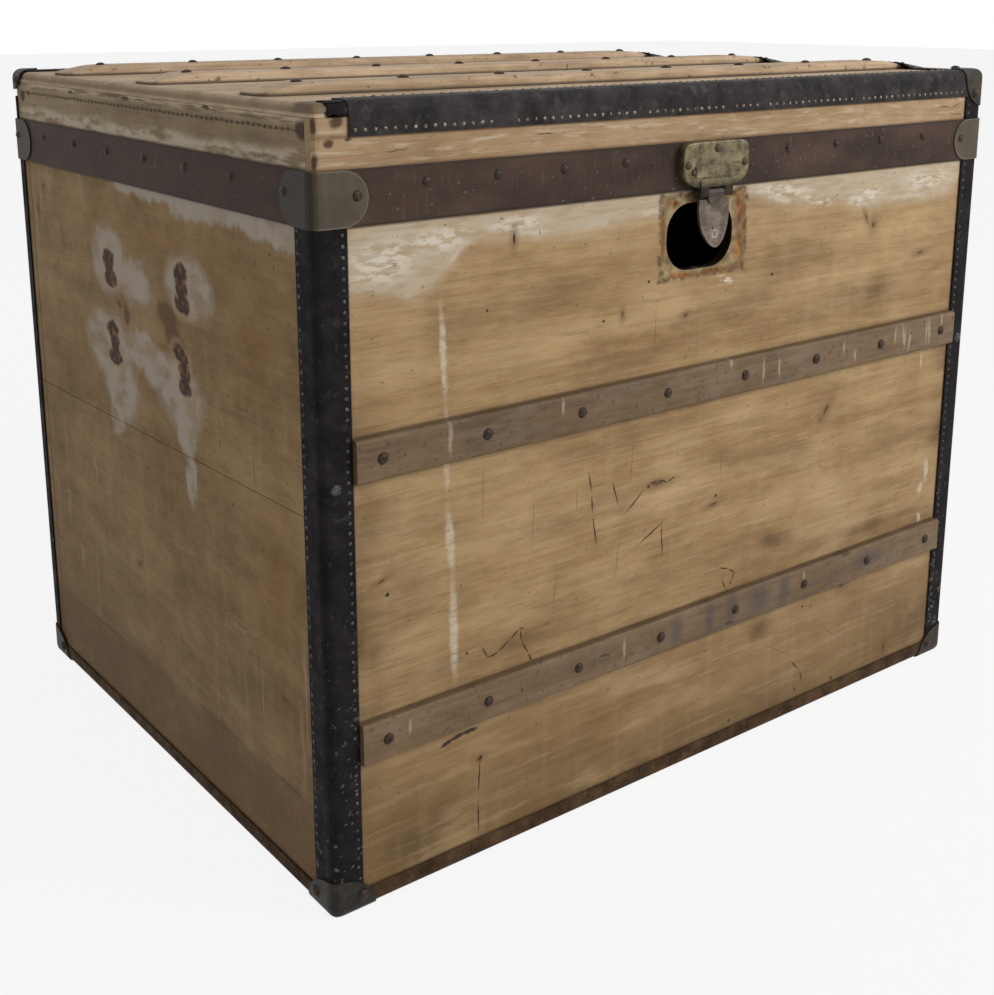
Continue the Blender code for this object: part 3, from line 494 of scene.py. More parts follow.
# Broad soft marks: painted shade along the edges, corners and foot, and grey smudges.
FRONT_SHADES = [(-352, 268, 66, 58, 0), (-372, 250, 40, 300, 0), (105, 206, 46, 16, -8),
                (93, 114, 30, 24, 0), (330, 52, 110, 60, 10), (0, 14, 420, 46, 0),
                (-240, 192, 150, 16, 0), (-310, 50, 110, 60, 0), (250, 184, 150, 12, 0),
                (230, 440, 80, 22, 0), (374, 300, 34, 260, 0)]
FRONT_GOUGE = strokes(2.6, ((-294, 119), (-284, 122), (-272, 124), (-258, 124)))
FRONT_STAINS = [(179, 327, 3, 7, -35), (171, 318, 2, 2, 0), (316, 472, 6, 2, 8),
                (236, 508, 3, 4, 0), (224, 517, 1.6, 5, 30), (-24, 451, 3, 2, 20),
                (-350, 282, 5, 1.5, 20), (-100, 462, 1.6, 3.4, 0), (21, 262, 6, 1.6, 10),
                (220, 127, 6, 3, 0), (300, 33, 2.5, 8, 0), (-255, 94, 4, 2.5, 0),
                (-52, 299, 9, 2.4, 0), (-219, 540, 1.8, 5, 0)]
FRONT_HOLES = [(89, 475, 2.0, 1.8, 0), (-246, 485, 1.3, 1.3, 0), (-122, 459, 1.6, 1.6, 0),
               (-345, 269, 2.2, 2.2, 0), (24, 270, 1.8, 1.6, 0), (-64, 298, 1.8, 1.8, 0),
               (-70, 487, 1.8, 1.6, 0), (159, 120, 1.5, 1.5, 0), (171, 117, 1.3, 1.3, 0),
               (212, 23, 2.2, 2.0, 0), (55, 26, 1.8, 1.6, 0), (153, 29, 1.6, 1.6, 0),
               (-254, 95, 1.8, 2.2, 0), (-268, 196, 1.5, 1.5, 0)]
SCAR = (-4, 523, 54, 38)      # print of the old lock: middle, then half sizes
SCAR_RUST = strokes(8.5, ((41, 556), (42, 525), (41, 490)))
SCAR_RUST += strokes(4.0, ((14, 557), (44, 556)), ((-50, 556), (-34, 551)),
                     ((-54, 545), (-54, 500)), ((-52, 489), (-10, 488), (38, 488)))
# The edges of battens, band and foot strip, where dirt gathers and shade is painted.
FRONT_EDGES = (*reversed(UPPER_BATTEN), *reversed(LOWER_BATTEN), BAND_LOW, FOOT_STRIP_TOP)
print(len(FRONT_DRIPS + FRONT_WHITE + FRONT_CRACKS + FRONT_SCRATCHES + FRONT_SHADES +
          FRONT_GOUGE + FRONT_STAINS + FRONT_HOLES + SCAR_RUST), "marks on the front board")


# %% Residue fringe
HALF_RUN = 400.0              # half of the length over which a fringe's rim is drawn


def fringe(add, place, axis, rim, low, high):
    """How far above the fringe's lower rim a point is, in millimetres."""
    parts = add("SeparateXYZ", {0: place})
    share = add("MapRange", {"Value": parts.outputs[axis], "From Min": -HALF_RUN,
                             "From Max": HALF_RUN})
    points = [((x + HALF_RUN) / (2 * HALF_RUN), (z - low) / (high - low)) for x, z in rim]
    height = add("FloatCurve", {"Value": share}, points=points)
    height = add("MapRange", {"Value": height, "To Min": low, "To Max": high})
    return add("Math", {0: parts.outputs["Z"], 1: height}, operation="SUBTRACT")


# %% Front board: the wood
# Bare planed poplar: dull, tan, with quiet bands along the grain.
front_poplar, add, place = start_finish("bare_poplar_front")
frayed = shaken(add, place, 7.0, 2.6)
jagged = shaken(add, place, 2.6, 1.0)
clean, fibres = grain(add, place, "X", POPLAR)
outside = outer_face(add, place, "Y", HALF_DEPTH)
parts = add("SeparateXYZ", {0: place})
# Painted shade: darker towards the bottom.
base = tinted(add, clean, "#6c5331", parts.outputs["Z"], 250.0, 50.0, 0.6)
# Broad marks of painted shade and grey smudges, broken by soft clouds.
cloudy = add("TexNoise", {"Vector": place, "Scale": 1 / 60, "Detail": 4.0})
cloudy = add("MapRange", {"Value": cloudy, "From Min": 0.40, "From Max": 0.60, "To Min": 0.3})
base = marked(add, base, "#5a452b", place, "front", FRONT_SHADES, 1.0, cloudy, 0.85)
# Brown clouds a hand wide, darker than the board, from a century of handling.
handled = cloud(add, place, (160, 60, 52), 6.0, 0.62)
base = tinted(add, base, "#6b4f2f", handled, 0.50, 0.66, 0.42, SMOOTH)
base = tinted(add, base, "#c2a67b", handled, 0.48, 0.34, 0.3, SMOOTH)
# Faint upright runs of water, about 12 mm wide.
runs = cloud(add, place, (12, 12, 190), 3.0)
base = tinted(add, base, "#bca686", runs, 0.56, 0.76, 0.12)
# Long brown and long pale streaks of the planed board, about 6 by 90 mm.
planed = cloud(add, place, (90, 20, 6), 6.0, 0.68)
base = tinted(add, base, "#6e5130", planed, 0.47, 0.38, 0.2)
base = tinted(add, base, "#c6ae89", planed, 0.54, 0.70, 0.24)

# %% Front board: paste, flakes and drips
above = fringe(add, frayed, "X", FRONT_FRINGE, 480.0, 580.0)
streaky = cloud(add, place, (26, 8, 5), 4.0)
paste = add("MapRange", {"Value": above, "From Min": -12.0, "From Max": 7.0},
            interpolation_type=SMOOTH)
patchy = add("MapRange", {"Value": streaky, "From Min": 0.36, "From Max": 0.56,
                          "To Min": 0.55, "To Max": 1.0})
paste = add("Math", {0: paste, 1: patchy}, operation="MULTIPLY")
base = laid_on(add, base, RESIDUE, paste)
rim = add("MapRange", {"Value": away(add, above, 2.0), "From Min": 4.0, "From Max": 0.5})
white = inside(add, frayed, "front", FRONT_WHITE, 0.8)
torn_paper = cloud(add, place, (14, 5, 4.5), 5.0, 0.6)
flakes = add("MapRange", {"Value": torn_paper, "From Min": 0.46, "From Max": 0.54})
# The tide line shows only here and there.
tide = add("MapRange", {"Value": add("TexNoise", {"Vector": place, "Scale": 1 / 45}),
                        "From Min": 0.46, "From Max": 0.58})
tide = add("Math", {0: rim, 1: tide}, operation="MULTIPLY")
tide = add("Math", {0: tide, 1: 0.6}, operation="MULTIPLY")
white = add("Math", {0: white, 1: flakes}, operation="MULTIPLY")
white = add("Math", {0: tide, 1: white}, operation="MAXIMUM")
base = laid_on(add, base, FLAKE, white, 0.85)
broken = add("MapRange", {"Value": torn_paper, "From Min": 0.40, "From Max": 0.58,
                          "To Min": 0.5})
base = marked(add, base, "#cbbfa9", frayed, "front", FRONT_DRIPS, 0.7, broken, 0.8)
base = stained(add, base, place, "front", FRONT_STAINS)
base = marked(add, base, "#5a452d", place, "front", FRONT_SCRATCHES, 0.9, 0.6)

# %% Front board: the old lock's print
box = square(add, jagged, *SCAR)
printed = add("MapRange", {"Value": box, "From Min": 1.03, "From Max": 0.97})
_, print_tone = mottled(add, place, 11, 4.0, 0.5, ("#5b4a2f", "#84704c", "#a2926f"),
                        (0.38, 0.50, 0.64))
base = laid_on(add, base, print_tone, printed, 0.75)
rusty_rim = add("MapRange", {"Value": away(add, box, 0.97), "From Min": 0.10,
                             "From Max": 0.03})
rust_noise, rust_tone = mottled(add, place, 9, 3.0, 0.5, ("#472711", "#83501f", "#a8713a"),
                                (0.38, 0.52, 0.66))
rust_patchy = add("MapRange", {"Value": rust_noise, "From Min": 0.42, "From Max": 0.60})
base = laid_on(add, base, "#4c351f", rusty_rim, rust_patchy, 0.9)
base = marked(add, base, rust_tone, jagged, "front", SCAR_RUST, 0.9, 0.95)

# %% Front board: cracks, holes, dirt and the shader
cracks = inside(add, jagged, "front", FRONT_CRACKS, 0.8)
gouge = inside(add, jagged, "front", FRONT_GOUGE, 0.5)
holes = inside(add, place, "front", FRONT_HOLES, 0.4)
pits = add("Math", {0: cracks, 1: gouge}, operation="MAXIMUM")
pits = add("Math", {0: pits, 1: holes}, operation="MAXIMUM")
base = specks(add, base, GRIME_AND_SHADE, place, 5.0, 0.72, 0.45)
base = laid_on(add, base, "#2a1e14", pits, 0.95)
# Dirt and painted shade along the battens, band and foot strip.
base = edge_dirt_and_shade(add, base, GRIME_AND_SHADE, place, "X", LENGTH_INSIDE_STRIPS, FRONT_EDGES, 0.7)
base = laid_on(add, clean, base, outside)
# The sawn edge inside the hole, near black: painted shade.
deep = add("Math", {0: parts.outputs["Y"]}, operation="ABSOLUTE")
deep = add("MapRange", {"Value": deep, "From Min": HALF_DEPTH - 0.2,
                        "From Max": HALF_DEPTH - 1.2})
near_hole = ovals(add, place, "front", [(-25, 522, 30, 34, 0), (7, 522, 30, 34, 0)])
near_hole = add("MapRange", {"Value": near_hole, "From Min": 1.05, "From Max": 1.0})
base = laid_on(add, base, "#120d09", deep, near_hole)

height = relief(add, fibres, 0.35, (paste, 0.25), (pits, -1.0))
height = add("Math", {0: height, 1: outside}, operation="MULTIPLY")
rough = add("MapRange", {"Value": paste, "To Min": 0.62, "To Max": 0.9})
close_finish(add, base, rough, height, 0.0007, Specular_IOR_Level=0.25)
dress(front_poplar, "front_board")

# %% [markdown]
# ## The back and the ends
#
# The back is out of sight in the photograph, so it gets the same bare wood with a few quiet
# stains. The left end once had a carrying handle: its ends have torn the wood away in four
# brown scars, and pale paste surrounds them. The right end is taken to be the same, since
# such a trunk has a handle at each end, so both share one finish.

# %% Weathered wood
def weathered(add, place, axis, tones, upright, lines):
    """Bare wood: painted shade low down, faint water runs, dirt and painted shade along the
    fittings.
    """
    clean, fibres = grain(add, place, axis, tones)
    parts = add("SeparateXYZ", {0: place})
    # Painted shade: darker towards the bottom.
    base = tinted(add, clean, "#6f5738", parts.outputs["Z"], 230.0, 20.0, 0.5)
    cloudy = add("TexNoise", {"Vector": place, "Scale": 1 / 120, "Detail": 4.0})
    base = tinted(add, base, "#7b5f3a", cloudy, 0.42, 0.62, 0.4)
    # Brown and pale clouds a few centimetres wide, from handling and damp.
    handled = cloud(add, place, (60, 60, 38), 7.0, 0.68)
    base = tinted(add, base, "#5f4a2d", handled, 0.50, 0.66, 0.45)
    base = tinted(add, base, "#ae966f", handled, 0.48, 0.34, 0.4)
    base = tinted(add, base, "#bca686", cloud(add, place, (14, 14, 150), 3.0), 0.56, 0.76,
                  0.18)
    base = specks(add, base, GRIME_AND_SHADE, place, 5.0, 0.70, 0.7)
    # Dirt and painted shade along the fittings.
    return edge_dirt_and_shade(add, base, GRIME_AND_SHADE, place, axis, upright, lines, 0.7), fibres, clean


# %% Back board's finish
BACK_STAINS = [(-210, 470, 22, 3, 4), (120, 250, 3, 12, 5), (260, 90, 20, 6, -20),
               (-300, 120, 5, 18, 0), (40, 505, 16, 4, 0), (-90, 210, 9, 2, 20)]
BACK_DRIPS = strokes(4.0, ((-150, 560), (-151, 455)), ((210, 360), (212, 250)),
                     ((-320, 365), (-318, 300)))
# Bare planed poplar again, with the grain along the trunk's length.
back_poplar, add, place = start_finish("bare_poplar_back")
frayed = shaken(add, place, 7.0, 2.6)
base, fibres, clean = weathered(add, place, "X", POPLAR, LENGTH_INSIDE_STRIPS, FRONT_EDGES)
base = marked(add, base, "#4f4029", frayed, "front", BACK_STAINS, 0.9, 0.5)
base = marked(add, base, "#c9bda9", frayed, "front", BACK_DRIPS, 0.7, 0.5)
base = laid_on(add, clean, base, outer_face(add, place, "Y", HALF_DEPTH))
close_finish(add, base, 0.66, relief(add, fibres, 0.35), 0.0007, Specular_IOR_Level=0.25)
dress(back_poplar, "back_board")

# %% End boards: where things are, in millimetres
END_FRINGE = ((-280, 540), (-255, 540), (-238, 545), (-218, 543), (-195, 547), (-180, 551),
              (-172, 548), (-120, 547), (-64, 545), (-56, 553), (-20, 551), (40, 556),
              (70, 563), (110, 568), (300, 568))
# Each scar is an hourglass of three ovals.
END_SCARS = [(82, 489, 16, 10, 0), (81, 480, 12, 11, 0), (79, 470, 17, 9, 0),
             (82, 420, 17, 10, 0), (78, 408, 12, 11, 0), (79, 394, 18, 11, 0),
             (-76, 498, 15, 11, 0), (-77, 485, 13, 12, 0), (-77, 471, 18, 11, 0),
             (-68, 425, 18, 9, 20), (-74, 410, 13, 11, 0), (-74, 396, 15, 9, 0)]
END_BROWN = [(-44, 456, 28, 16, 10), (-54, 440, 21, 16, 0), (-66, 430, 20, 12, 0),
             (46, 440, 9, 14, 0), (62, 448, 7, 5, 0)]
END_PALE = [(82, 486, 48, 42, 0), (26, 474, 44, 28, 0), (94, 404, 64, 40, 0),
            (70, 366, 48, 42, 0), (84, 336, 22, 28, 0), (16, 412, 50, 22, 0),
            (-90, 488, 56, 32, 0), (-60, 386, 60, 38, 0), (-20, 398, 40, 26, 0),
            (-72, 356, 24, 32, 0), (-77, 316, 13, 34, 0)]
# Warmer, orange-brown parts of the wood.
END_WARM = [(-214, 456, 70, 90, 0), (0, 520, 300, 30, 0), (-230, 270, 60, 110, 0)]
# Smears of pale dirt, mostly towards the back.
END_SMEARS = [(268, 500, 9, 34, 0), (246, 440, 7, 22, 0), (236, 210, 14, 4, 0),
              (234, 196, 5, 26, 0), (206, 150, 9, 20, 0), (150, 260, 5, 30, 0),
              (-270, 210, 7, 44, 0), (-262, 130, 5, 60, 0), (-160, 202, 34, 2, 0)]
END_LINES = strokes(1.0, ((-130, 400), (-150, 372)), ((-196, 196), (-196, 120)),
                    ((168, 180), (168, 90)), ((-270, 250), (-271, 120)))
END_DARK = strokes(1.0, ((-197, 373), (-197, 333)), ((-90, 300), (-120, 262)))
END_DARK += strokes(1.3, ((-44, 92), (-180, 90), (-276, 88)), ((60, 90), (270, 87)),
                    ((286, 148), (258, 149)))
END_STAINS = [(243, 539, 4, 3, 0), (262, 515, 2, 8, 0), (-236, 168, 8, 2, 20),
              (52, 190, 4, 1.6, -10)]
# A pale line runs beside the corner strip's edge.
END_PALE_LINE = [(0.6 - DEPTH_INSIDE_STRIPS, 190, 1.6, 200, 0)]
print(len(END_SCARS + END_PALE + END_STAINS + END_DARK + END_LINES), "marks on each end board")

# %% End boards: the wood and the paste
# The same poplar. It looks greyer here, because less of it was rubbed by passing hands.
end_poplar, add, place = start_finish("bare_poplar_end")
frayed = shaken(add, place, 16.0, 9.0)
jagged = shaken(add, place, 7.0, 5.0)
broad_place = shaken(add, place, 50.0, 8.0)
base, fibres, clean = weathered(add, place, "Y", POPLAR_END, DEPTH_INSIDE_STRIPS,
                                (BAND_LOW, FOOT_STRIP_TOP))
outside = outer_face(add, place, "X", HALF_LENGTH)
above = fringe(add, frayed, "Y", END_FRINGE, 500.0, 600.0)
paste = add("MapRange", {"Value": above, "From Min": -2.0, "From Max": 5.0},
            interpolation_type=SMOOTH)
clouds = cloud(add, place, (14, 30, 22), 4.0)
patchy = add("MapRange", {"Value": clouds, "From Min": 0.40, "From Max": 0.54,
                          "To Min": 0.45, "To Max": 1.0})
paste_patchy = add("MapRange", {"Value": clouds, "From Min": 0.38, "From Max": 0.50,
                                "To Min": 0.7, "To Max": 1.0})
foot = add("SeparateXYZ", {0: broad_place}).outputs["Z"]
base = tinted(add, base, "#5b3f28", foot, 96.0, 86.0, 0.5)
base = marked(add, base, "#8a5f34", broad_place, "end", END_WARM, 0.9, 0.3)
base = marked(add, base, "#b3a184", frayed, "end", END_SMEARS, 0.9, patchy, 0.4)
pale = inside(add, frayed, "end", END_PALE, 0.42)
pale = add("Math", {0: pale, 1: patchy}, operation="MULTIPLY")
pale = add("Math", {0: pale, 1: 0.95}, operation="MULTIPLY")
paste = add("Math", {0: paste, 1: paste_patchy}, operation="MULTIPLY")
pale = add("Math", {0: pale, 1: paste}, operation="MAXIMUM")
base = laid_on(add, base, "#b6a99b", pale)

# %% End boards: lines, stains, the handle's scars and the shader
base = marked(add, base, "#c4b8a4", place, "end", END_LINES, 0.7, 0.4)
base = stained(add, base, frayed, "end", END_STAINS)
base = marked(add, base, "#5c4025", jagged, "end", END_BROWN, 0.5, 0.85)
torn = ovals(add, jagged, "end", END_SCARS)
base = tinted(add, base, "#b8a085", torn, 1.45, 1.05, 0.45)
scar = add("MapRange", {"Value": torn, "From Min": 1.0, "From Max": 0.7},
           interpolation_type=SMOOTH)
_, scar_tone = mottled(add, place, 7, 4.0, 0.5, ("#2f1e14", "#523420", "#7d5c3d"),
                       (0.44, 0.54, 0.66))
base = laid_on(add, base, scar_tone, scar)
base = marked(add, base, "#3a2c1c", place, "end", END_DARK, 0.7, 0.6)
base = marked(add, base, "#a59c8e", place, "end", END_PALE_LINE, 0.5, 0.6)
height = relief(add, fibres, 0.35, (pale, 0.2), (scar, -1.6))
height = add("Math", {0: height, 1: outside}, operation="MULTIPLY")
base = laid_on(add, clean, base, outside)
close_finish(add, base, 0.7, height, 0.0007, Specular_IOR_Level=0.22)
dress(end_poplar, "left_board", "right_board")

# %% [markdown]
# ## The lid's wood
#
# The lid is the same poplar, drier and paler on top where the sun reached it. Its left edge
# has lost its leather, and shows the row of small holes that the tacks left, 8.8 mm apart. A
# repeated pattern needs no list: the place along the edge is wrapped every 8.8 mm, so one
# dot becomes a row. The front left corner has lost its pressed cap and shows rusty prints of
# its nails.

# %% Lid rails' finish
FRONT_CORNER_RUST = [(-387, 625, 6, 4.5, 0), (-399, 638, 4, 9, 0), (-380, 640, 8, 6, 20),
                     (-398, 612, 2.5, 8, 0), (-371, 627, 4, 1.6, 0), (-392, 650, 8, 4, 0)]
LID_CRACKS = strokes(0.5, ((-340, 616), (-318, 617.5)), ((-200, 622), (-176, 621)),
                     ((330, 622), (352, 618), (366, 622)), ((348, 612), (372, 611)))
# Dry weathered poplar at the lid's front: pinker and paler, with rusty specks.
lid_front, add, place = start_finish("dry_poplar_lid_front")
frayed = shaken(add, place, 4.0, 1.6)
clean, fibres = grain(add, place, "X", ("#8f7252", "#a98d6b", "#bba282"))
base = tinted(add, clean, "#c9b9a1", cloud(add, place, (34, 9, 4), 4.0), 0.54, 0.66, 0.55)
base = tinted(add, base, "#86603c", cloud(add, place, (12, 5, 4), 3.0), 0.60, 0.72, 0.45)
base = marked(add, base, "#432c1e", frayed, "front", FRONT_CORNER_RUST, 0.6, 0.9)
cracks = inside(add, frayed, "front", LID_CRACKS, 0.7)
base = laid_on(add, base, "#4a3422", cracks, 0.8)
# Dirt and painted shade along the band and the edge strip.
base = edge_dirt_and_shade(add, base, "#6a4a33", place, "X", NO_STRIP, (BAND_HIGH, LID_STRIP_LOW), 0.55)
base = laid_on(add, clean, base, outer_face(add, place, "Y", HALF_DEPTH))
height = relief(add, fibres, 0.5, (cracks, -1.0))
close_finish(add, base, 0.72, height, 0.0008, Specular_IOR_Level=0.22)
dress(lid_front, "lid_rail_front", "lid_rail_back")


# %% A row of tack holes
def hole_row(add, place, axis, row, low, high):
    """Mask of a row of small holes along one axis, from low to high."""
    parts = add("SeparateXYZ", {0: place})
    wrapped = add("Math", {0: parts.outputs[axis], 1: TACK_PITCH / 2}, operation="PINGPONG")
    up = add("Math", {0: parts.outputs["Z"], 1: row}, operation="SUBTRACT")
    reach = add("VectorMath", {0: add("CombineXYZ", {"X": wrapped, "Y": up})},
                operation="LENGTH").outputs["Value"]
    dots = add("MapRange", {"Value": reach, "From Min": 1.7, "From Max": 1.0})
    along = add("Math", {0: away(add, parts.outputs[axis], (low + high) / 2),
                         1: (high - low) / 2}, operation="LESS_THAN")
    return add("Math", {0: dots, 1: along}, operation="MULTIPLY")


# %% Lid ends' finish
LID_FRINGE = ((-300, 620), (-250, 616), (-190, 617), (-120, 614), (-60, 619), (20, 615),
              (90, 619), (160, 615), (230, 620), (300, 617))
LID_END_RUST = [(-292, 634, 12, 10, 0), (-303, 622, 4, 16, 0), (-284, 648, 10, 4, 0),
                (284, 630, 9, 7, 0), (266, 633, 4, 3, 0), (150, 640, 7, 2, 0),
                (20, 641, 12, 2, 0), (-140, 642, 9, 2, 0)]
# The same dry poplar at the lid's ends, with paste over its lower half.
lid_end, add, place = start_finish("dry_poplar_lid_end")
frayed = shaken(add, place, 5.0, 2.4)
clean, fibres = grain(add, place, "Y", ("#7c6a54", "#988468", "#b09c80"))
outside = outer_face(add, place, "X", HALF_LENGTH)
above = fringe(add, frayed, "Y", LID_FRINGE, 590.0, 640.0)
below = add("MapRange", {"Value": above, "From Min": 5.0, "From Max": -3.0},
            interpolation_type=SMOOTH)
patchy = add("MapRange", {"Value": cloud(add, place, (9, 30, 7), 4.0), "From Min": 0.38,
                          "From Max": 0.56})
base = laid_on(add, clean, "#cdbfa8", below, patchy, 0.95)
splinters = cloud(add, place, (9, 40, 3), 3.0)
top_edge = add("MapRange", {"Value": add("SeparateXYZ", {0: place}).outputs["Z"],
                            "From Min": 636.0, "From Max": 642.0})
light = add("MapRange", {"Value": splinters, "From Min": 0.46, "From Max": 0.56})
base = laid_on(add, base, "#d2c2a4", top_edge, light, 0.8)
dark_top = add("MapRange", {"Value": splinters, "From Min": 0.44, "From Max": 0.34})
base = laid_on(add, base, "#4d3c2b", top_edge, dark_top, 0.7)
# The holes run together in a dark line where the wood split between them.
wavering = shaken(add, place, 12.0, 1.6)
holes = hole_row(add, wavering, "Y", LID_ROW, -276.0, 282.0)
base = laid_on(add, base, "#2b1d15", holes, 0.9)
row_gap = away(add, add("SeparateXYZ", {0: wavering}).outputs["Z"], LID_ROW)
base = tinted(add, base, "#43301f", row_gap, 1.5, 0.4, 0.55)
base = marked(add, base, "#33241d", frayed, "end", LID_END_RUST, 0.5, 0.9)
# Dirt and painted shade along the band.
base = edge_dirt_and_shade(add, base, GRIME_AND_SHADE, place, "Y", NO_STRIP, (BAND_HIGH,), 0.6)
base = laid_on(add, clean, base, outside)
holes = add("Math", {0: holes, 1: outside}, operation="MULTIPLY")
height = relief(add, fibres, 0.5, (holes, -1.0))
close_finish(add, base, 0.72, height, 0.0008, Specular_IOR_Level=0.22)
dress(lid_end, "lid_rail_left", "lid_rail_right")

# %% Lid top's finish
LID_TOP_SHADE = "#4a3d2e"     # painted shade beside the battens and the edge strips
# Sun-bleached poplar: the palest wood, greyed in the grain, with painted shade round the
# battens.
lid_top, add, place = start_finish("bleached_poplar_lid_top")
clean, fibres = grain(add, place, "X", ("#a08868", "#c2a98b", "#d2bd9f"))
base = tinted(add, clean, "#8f7d66", cloud(add, place, (120, 16, 16), 4.0), 0.50, 0.66, 0.5)
parts = add("SeparateXYZ", {0: place})
nearest = away(add, parts.outputs["Y"], BATTEN_ROWS[0])
for row in BATTEN_ROWS[1:]:
    nearest = add("Math", {0: away(add, parts.outputs["Y"], row), 1: nearest},
                  operation="MINIMUM")
# Painted shade beside the battens, where they stand on the board.
batten_shade = add("MapRange", {"Value": nearest, "From Min": 27.0, "From Max": 23.0,
                        "To Max": 0.85}, interpolation_type=SMOOTH)
across = add("Math", {0: parts.outputs["X"]}, operation="ABSOLUTE")
battened = add("MapRange", {"Value": across, "From Min": 364.0, "From Max": 356.0})
base = laid_on(add, base, LID_TOP_SHADE, batten_shade, battened)
# Painted shade beside the edge strips.
deep = add("Math", {0: parts.outputs["Y"]}, operation="ABSOLUTE")
base = tinted(add, base, LID_TOP_SHADE, deep, 276.0, 284.0, 0.8)
# Darker down the board's rounded edge.
base = tinted(add, base, "#7f6b52", parts.outputs["Z"], 652.4, 649.0, 0.7)
base = laid_on(add, clean, base, outer_face(add, place, "Z", 649.5))
close_finish(add, base, 0.68, relief(add, fibres, 0.5), 0.0008, Specular_IOR_Level=0.25)
dress(lid_top, "lid_top_board")

# %% Inner wood's finish
# Planed poplar that light never reached: clean, pale, and a little yellow.
inner_poplar, add, place = start_finish("clean_poplar_inside")
base, fibres = grain(add, place, "X", ("#9a7d52", "#b4966a", "#c4a87c"))
base = specks(add, base, GRIME_AND_SHADE, place, 6.0, 0.68, 0.5)
close_finish(add, base, 0.62, relief(add, fibres, 0.35), 0.0006, Specular_IOR_Level=0.25)
dress(inner_poplar, "bottom_board", "lip_strip_")

# %% [markdown]
# ## Battens
#
# Battens are hardwood slats that take the knocks. Those on the front have gone taupe, with
# thin pale drips, and their rounded edges carry painted shade. Those on the lid are bleached
# and pinkish, with painted shade at their foot. Beech and poplar differ little once they are
# weathered, so both are the poplar's grain again, in other tones and with their own marks.

# %% Front and back battens' finish
BATTEN_DRIPS = strokes(3.4, ((-288, 404), (-288, 374)), ((31, 402), (31, 396)),
                       ((286, 400), (290, 376)), ((300, 392), (296, 372)),
                       ((330, 402), (332, 374)))
BATTEN_DRIPS += strokes(2.2, ((-172, 401), (-172, 387)), ((75, 399), (75, 372)),
                        ((97, 397), (97, 374)), ((192, 397), (192, 384)),
                        ((210, 386), (210, 374)), ((274, 400), (274, 382)),
                        ((290, 397), (290, 373)), ((326, 401), (326, 374)),
                        ((352, 403), (352, 389)), ((-330, 160), (-331, 146)),
                        ((-96, 163), (-96, 140)), ((150, 164), (150, 150)))
# Grey bands where something black was rubbed on the lower batten.
BATTEN_SOIL = [(14, 150, 10, 30, 0), (44, 150, 13, 30, 0), (84, 150, 26, 26, 0),
               (120, 150, 14, 26, 0), (-30, 150, 12, 22, 0), (250, 152, 40, 14, 0)]
BATTEN_CHIPS = [(208, 169, 18, 3.4, -3), (216, 165, 8, 2, 0), (-120, 152, 9, 2, 0),
                (40, 138, 6, 2, 0), (-215, 148, 2, 2, 0), (300, 389, 2, 2, 0)]
BATTEN_FACE = 313.2           # the battens' face, from the trunk's middle
# Weathered beech, planed and once oiled: a dull brown with a hint of grey.
beech, add, place = start_finish("weathered_beech_batten")
frayed = shaken(add, place, 5.0, 1.6)
base, fibres = grain(add, place, "X", ("#584530", "#705a41", "#846d52"))
base = tinted(add, base, "#7c6d5b", cloud(add, place, (46, 10, 10), 3.0), 0.52, 0.68, 0.4)
base = marked(add, base, "#48423e", place, "front", BATTEN_SOIL, 0.9, 0.7)
base = specks(add, base, "#453528", place, 5.0, 0.66, 0.55)
base = marked(add, base, "#b9ab98", frayed, "front", BATTEN_DRIPS, 0.8, 0.5)
chips = inside(add, frayed, "front", BATTEN_CHIPS, 0.5)
base = laid_on(add, base, "#3d3026", chips, 0.75)
# Painted shade on the rounded edges, back from the face.
face = add("Math", {0: add("SeparateXYZ", {0: place}).outputs["Y"]}, operation="ABSOLUTE")
base = tinted(add, base, "#43362a", face, BATTEN_FACE, BATTEN_FACE - 2.8, 0.3)
height = relief(add, fibres, 0.4, (chips, -1.0))
close_finish(add, base, 0.6, height, 0.0008, Specular_IOR_Level=0.3)
dress(beech, "front_batten_", "back_batten_")

# %% Lid battens' finish
# Bleached poplar battens on the lid: pale and pinkish, with painted shade at the foot.
top_slat, add, place = start_finish("bleached_batten_lid")
base, fibres = grain(add, place, "X", ("#a68c6c", "#c9ae90", "#d8c1a3"))
base = tinted(add, base, "#8f7b65", cloud(add, place, (90, 8, 8), 4.0), 0.52, 0.66, 0.55)
base = specks(add, base, "#5d4a38", place, 6.0, 0.68, 0.7)
# Painted shade at the foot, where the batten meets the board.
foot = add("SeparateXYZ", {0: place}).outputs["Z"]
base = tinted(add, base, "#463a2e", foot, 656.8, 654.6, 0.85)
close_finish(add, base, 0.66, relief(add, fibres, 0.4), 0.0008, Specular_IOR_Level=0.25)
dress(top_slat, "top_batten_")

# %% [markdown]
# ## Leather
#
# The corner strips are thick black leather, nailed wet so that they dried tight round the
# edge. Old leather cracks into small plates and turns brown and grey where it is rubbed.
# Noise alone has no seams, so a Voronoi pattern gives the plates, a few millimetres wide, and
# noise decides where the black has worn off. The strips along the lid's edges are dustier, and
# the thin ones at the foot are brown, so one recipe takes the tones and the dust as settings.

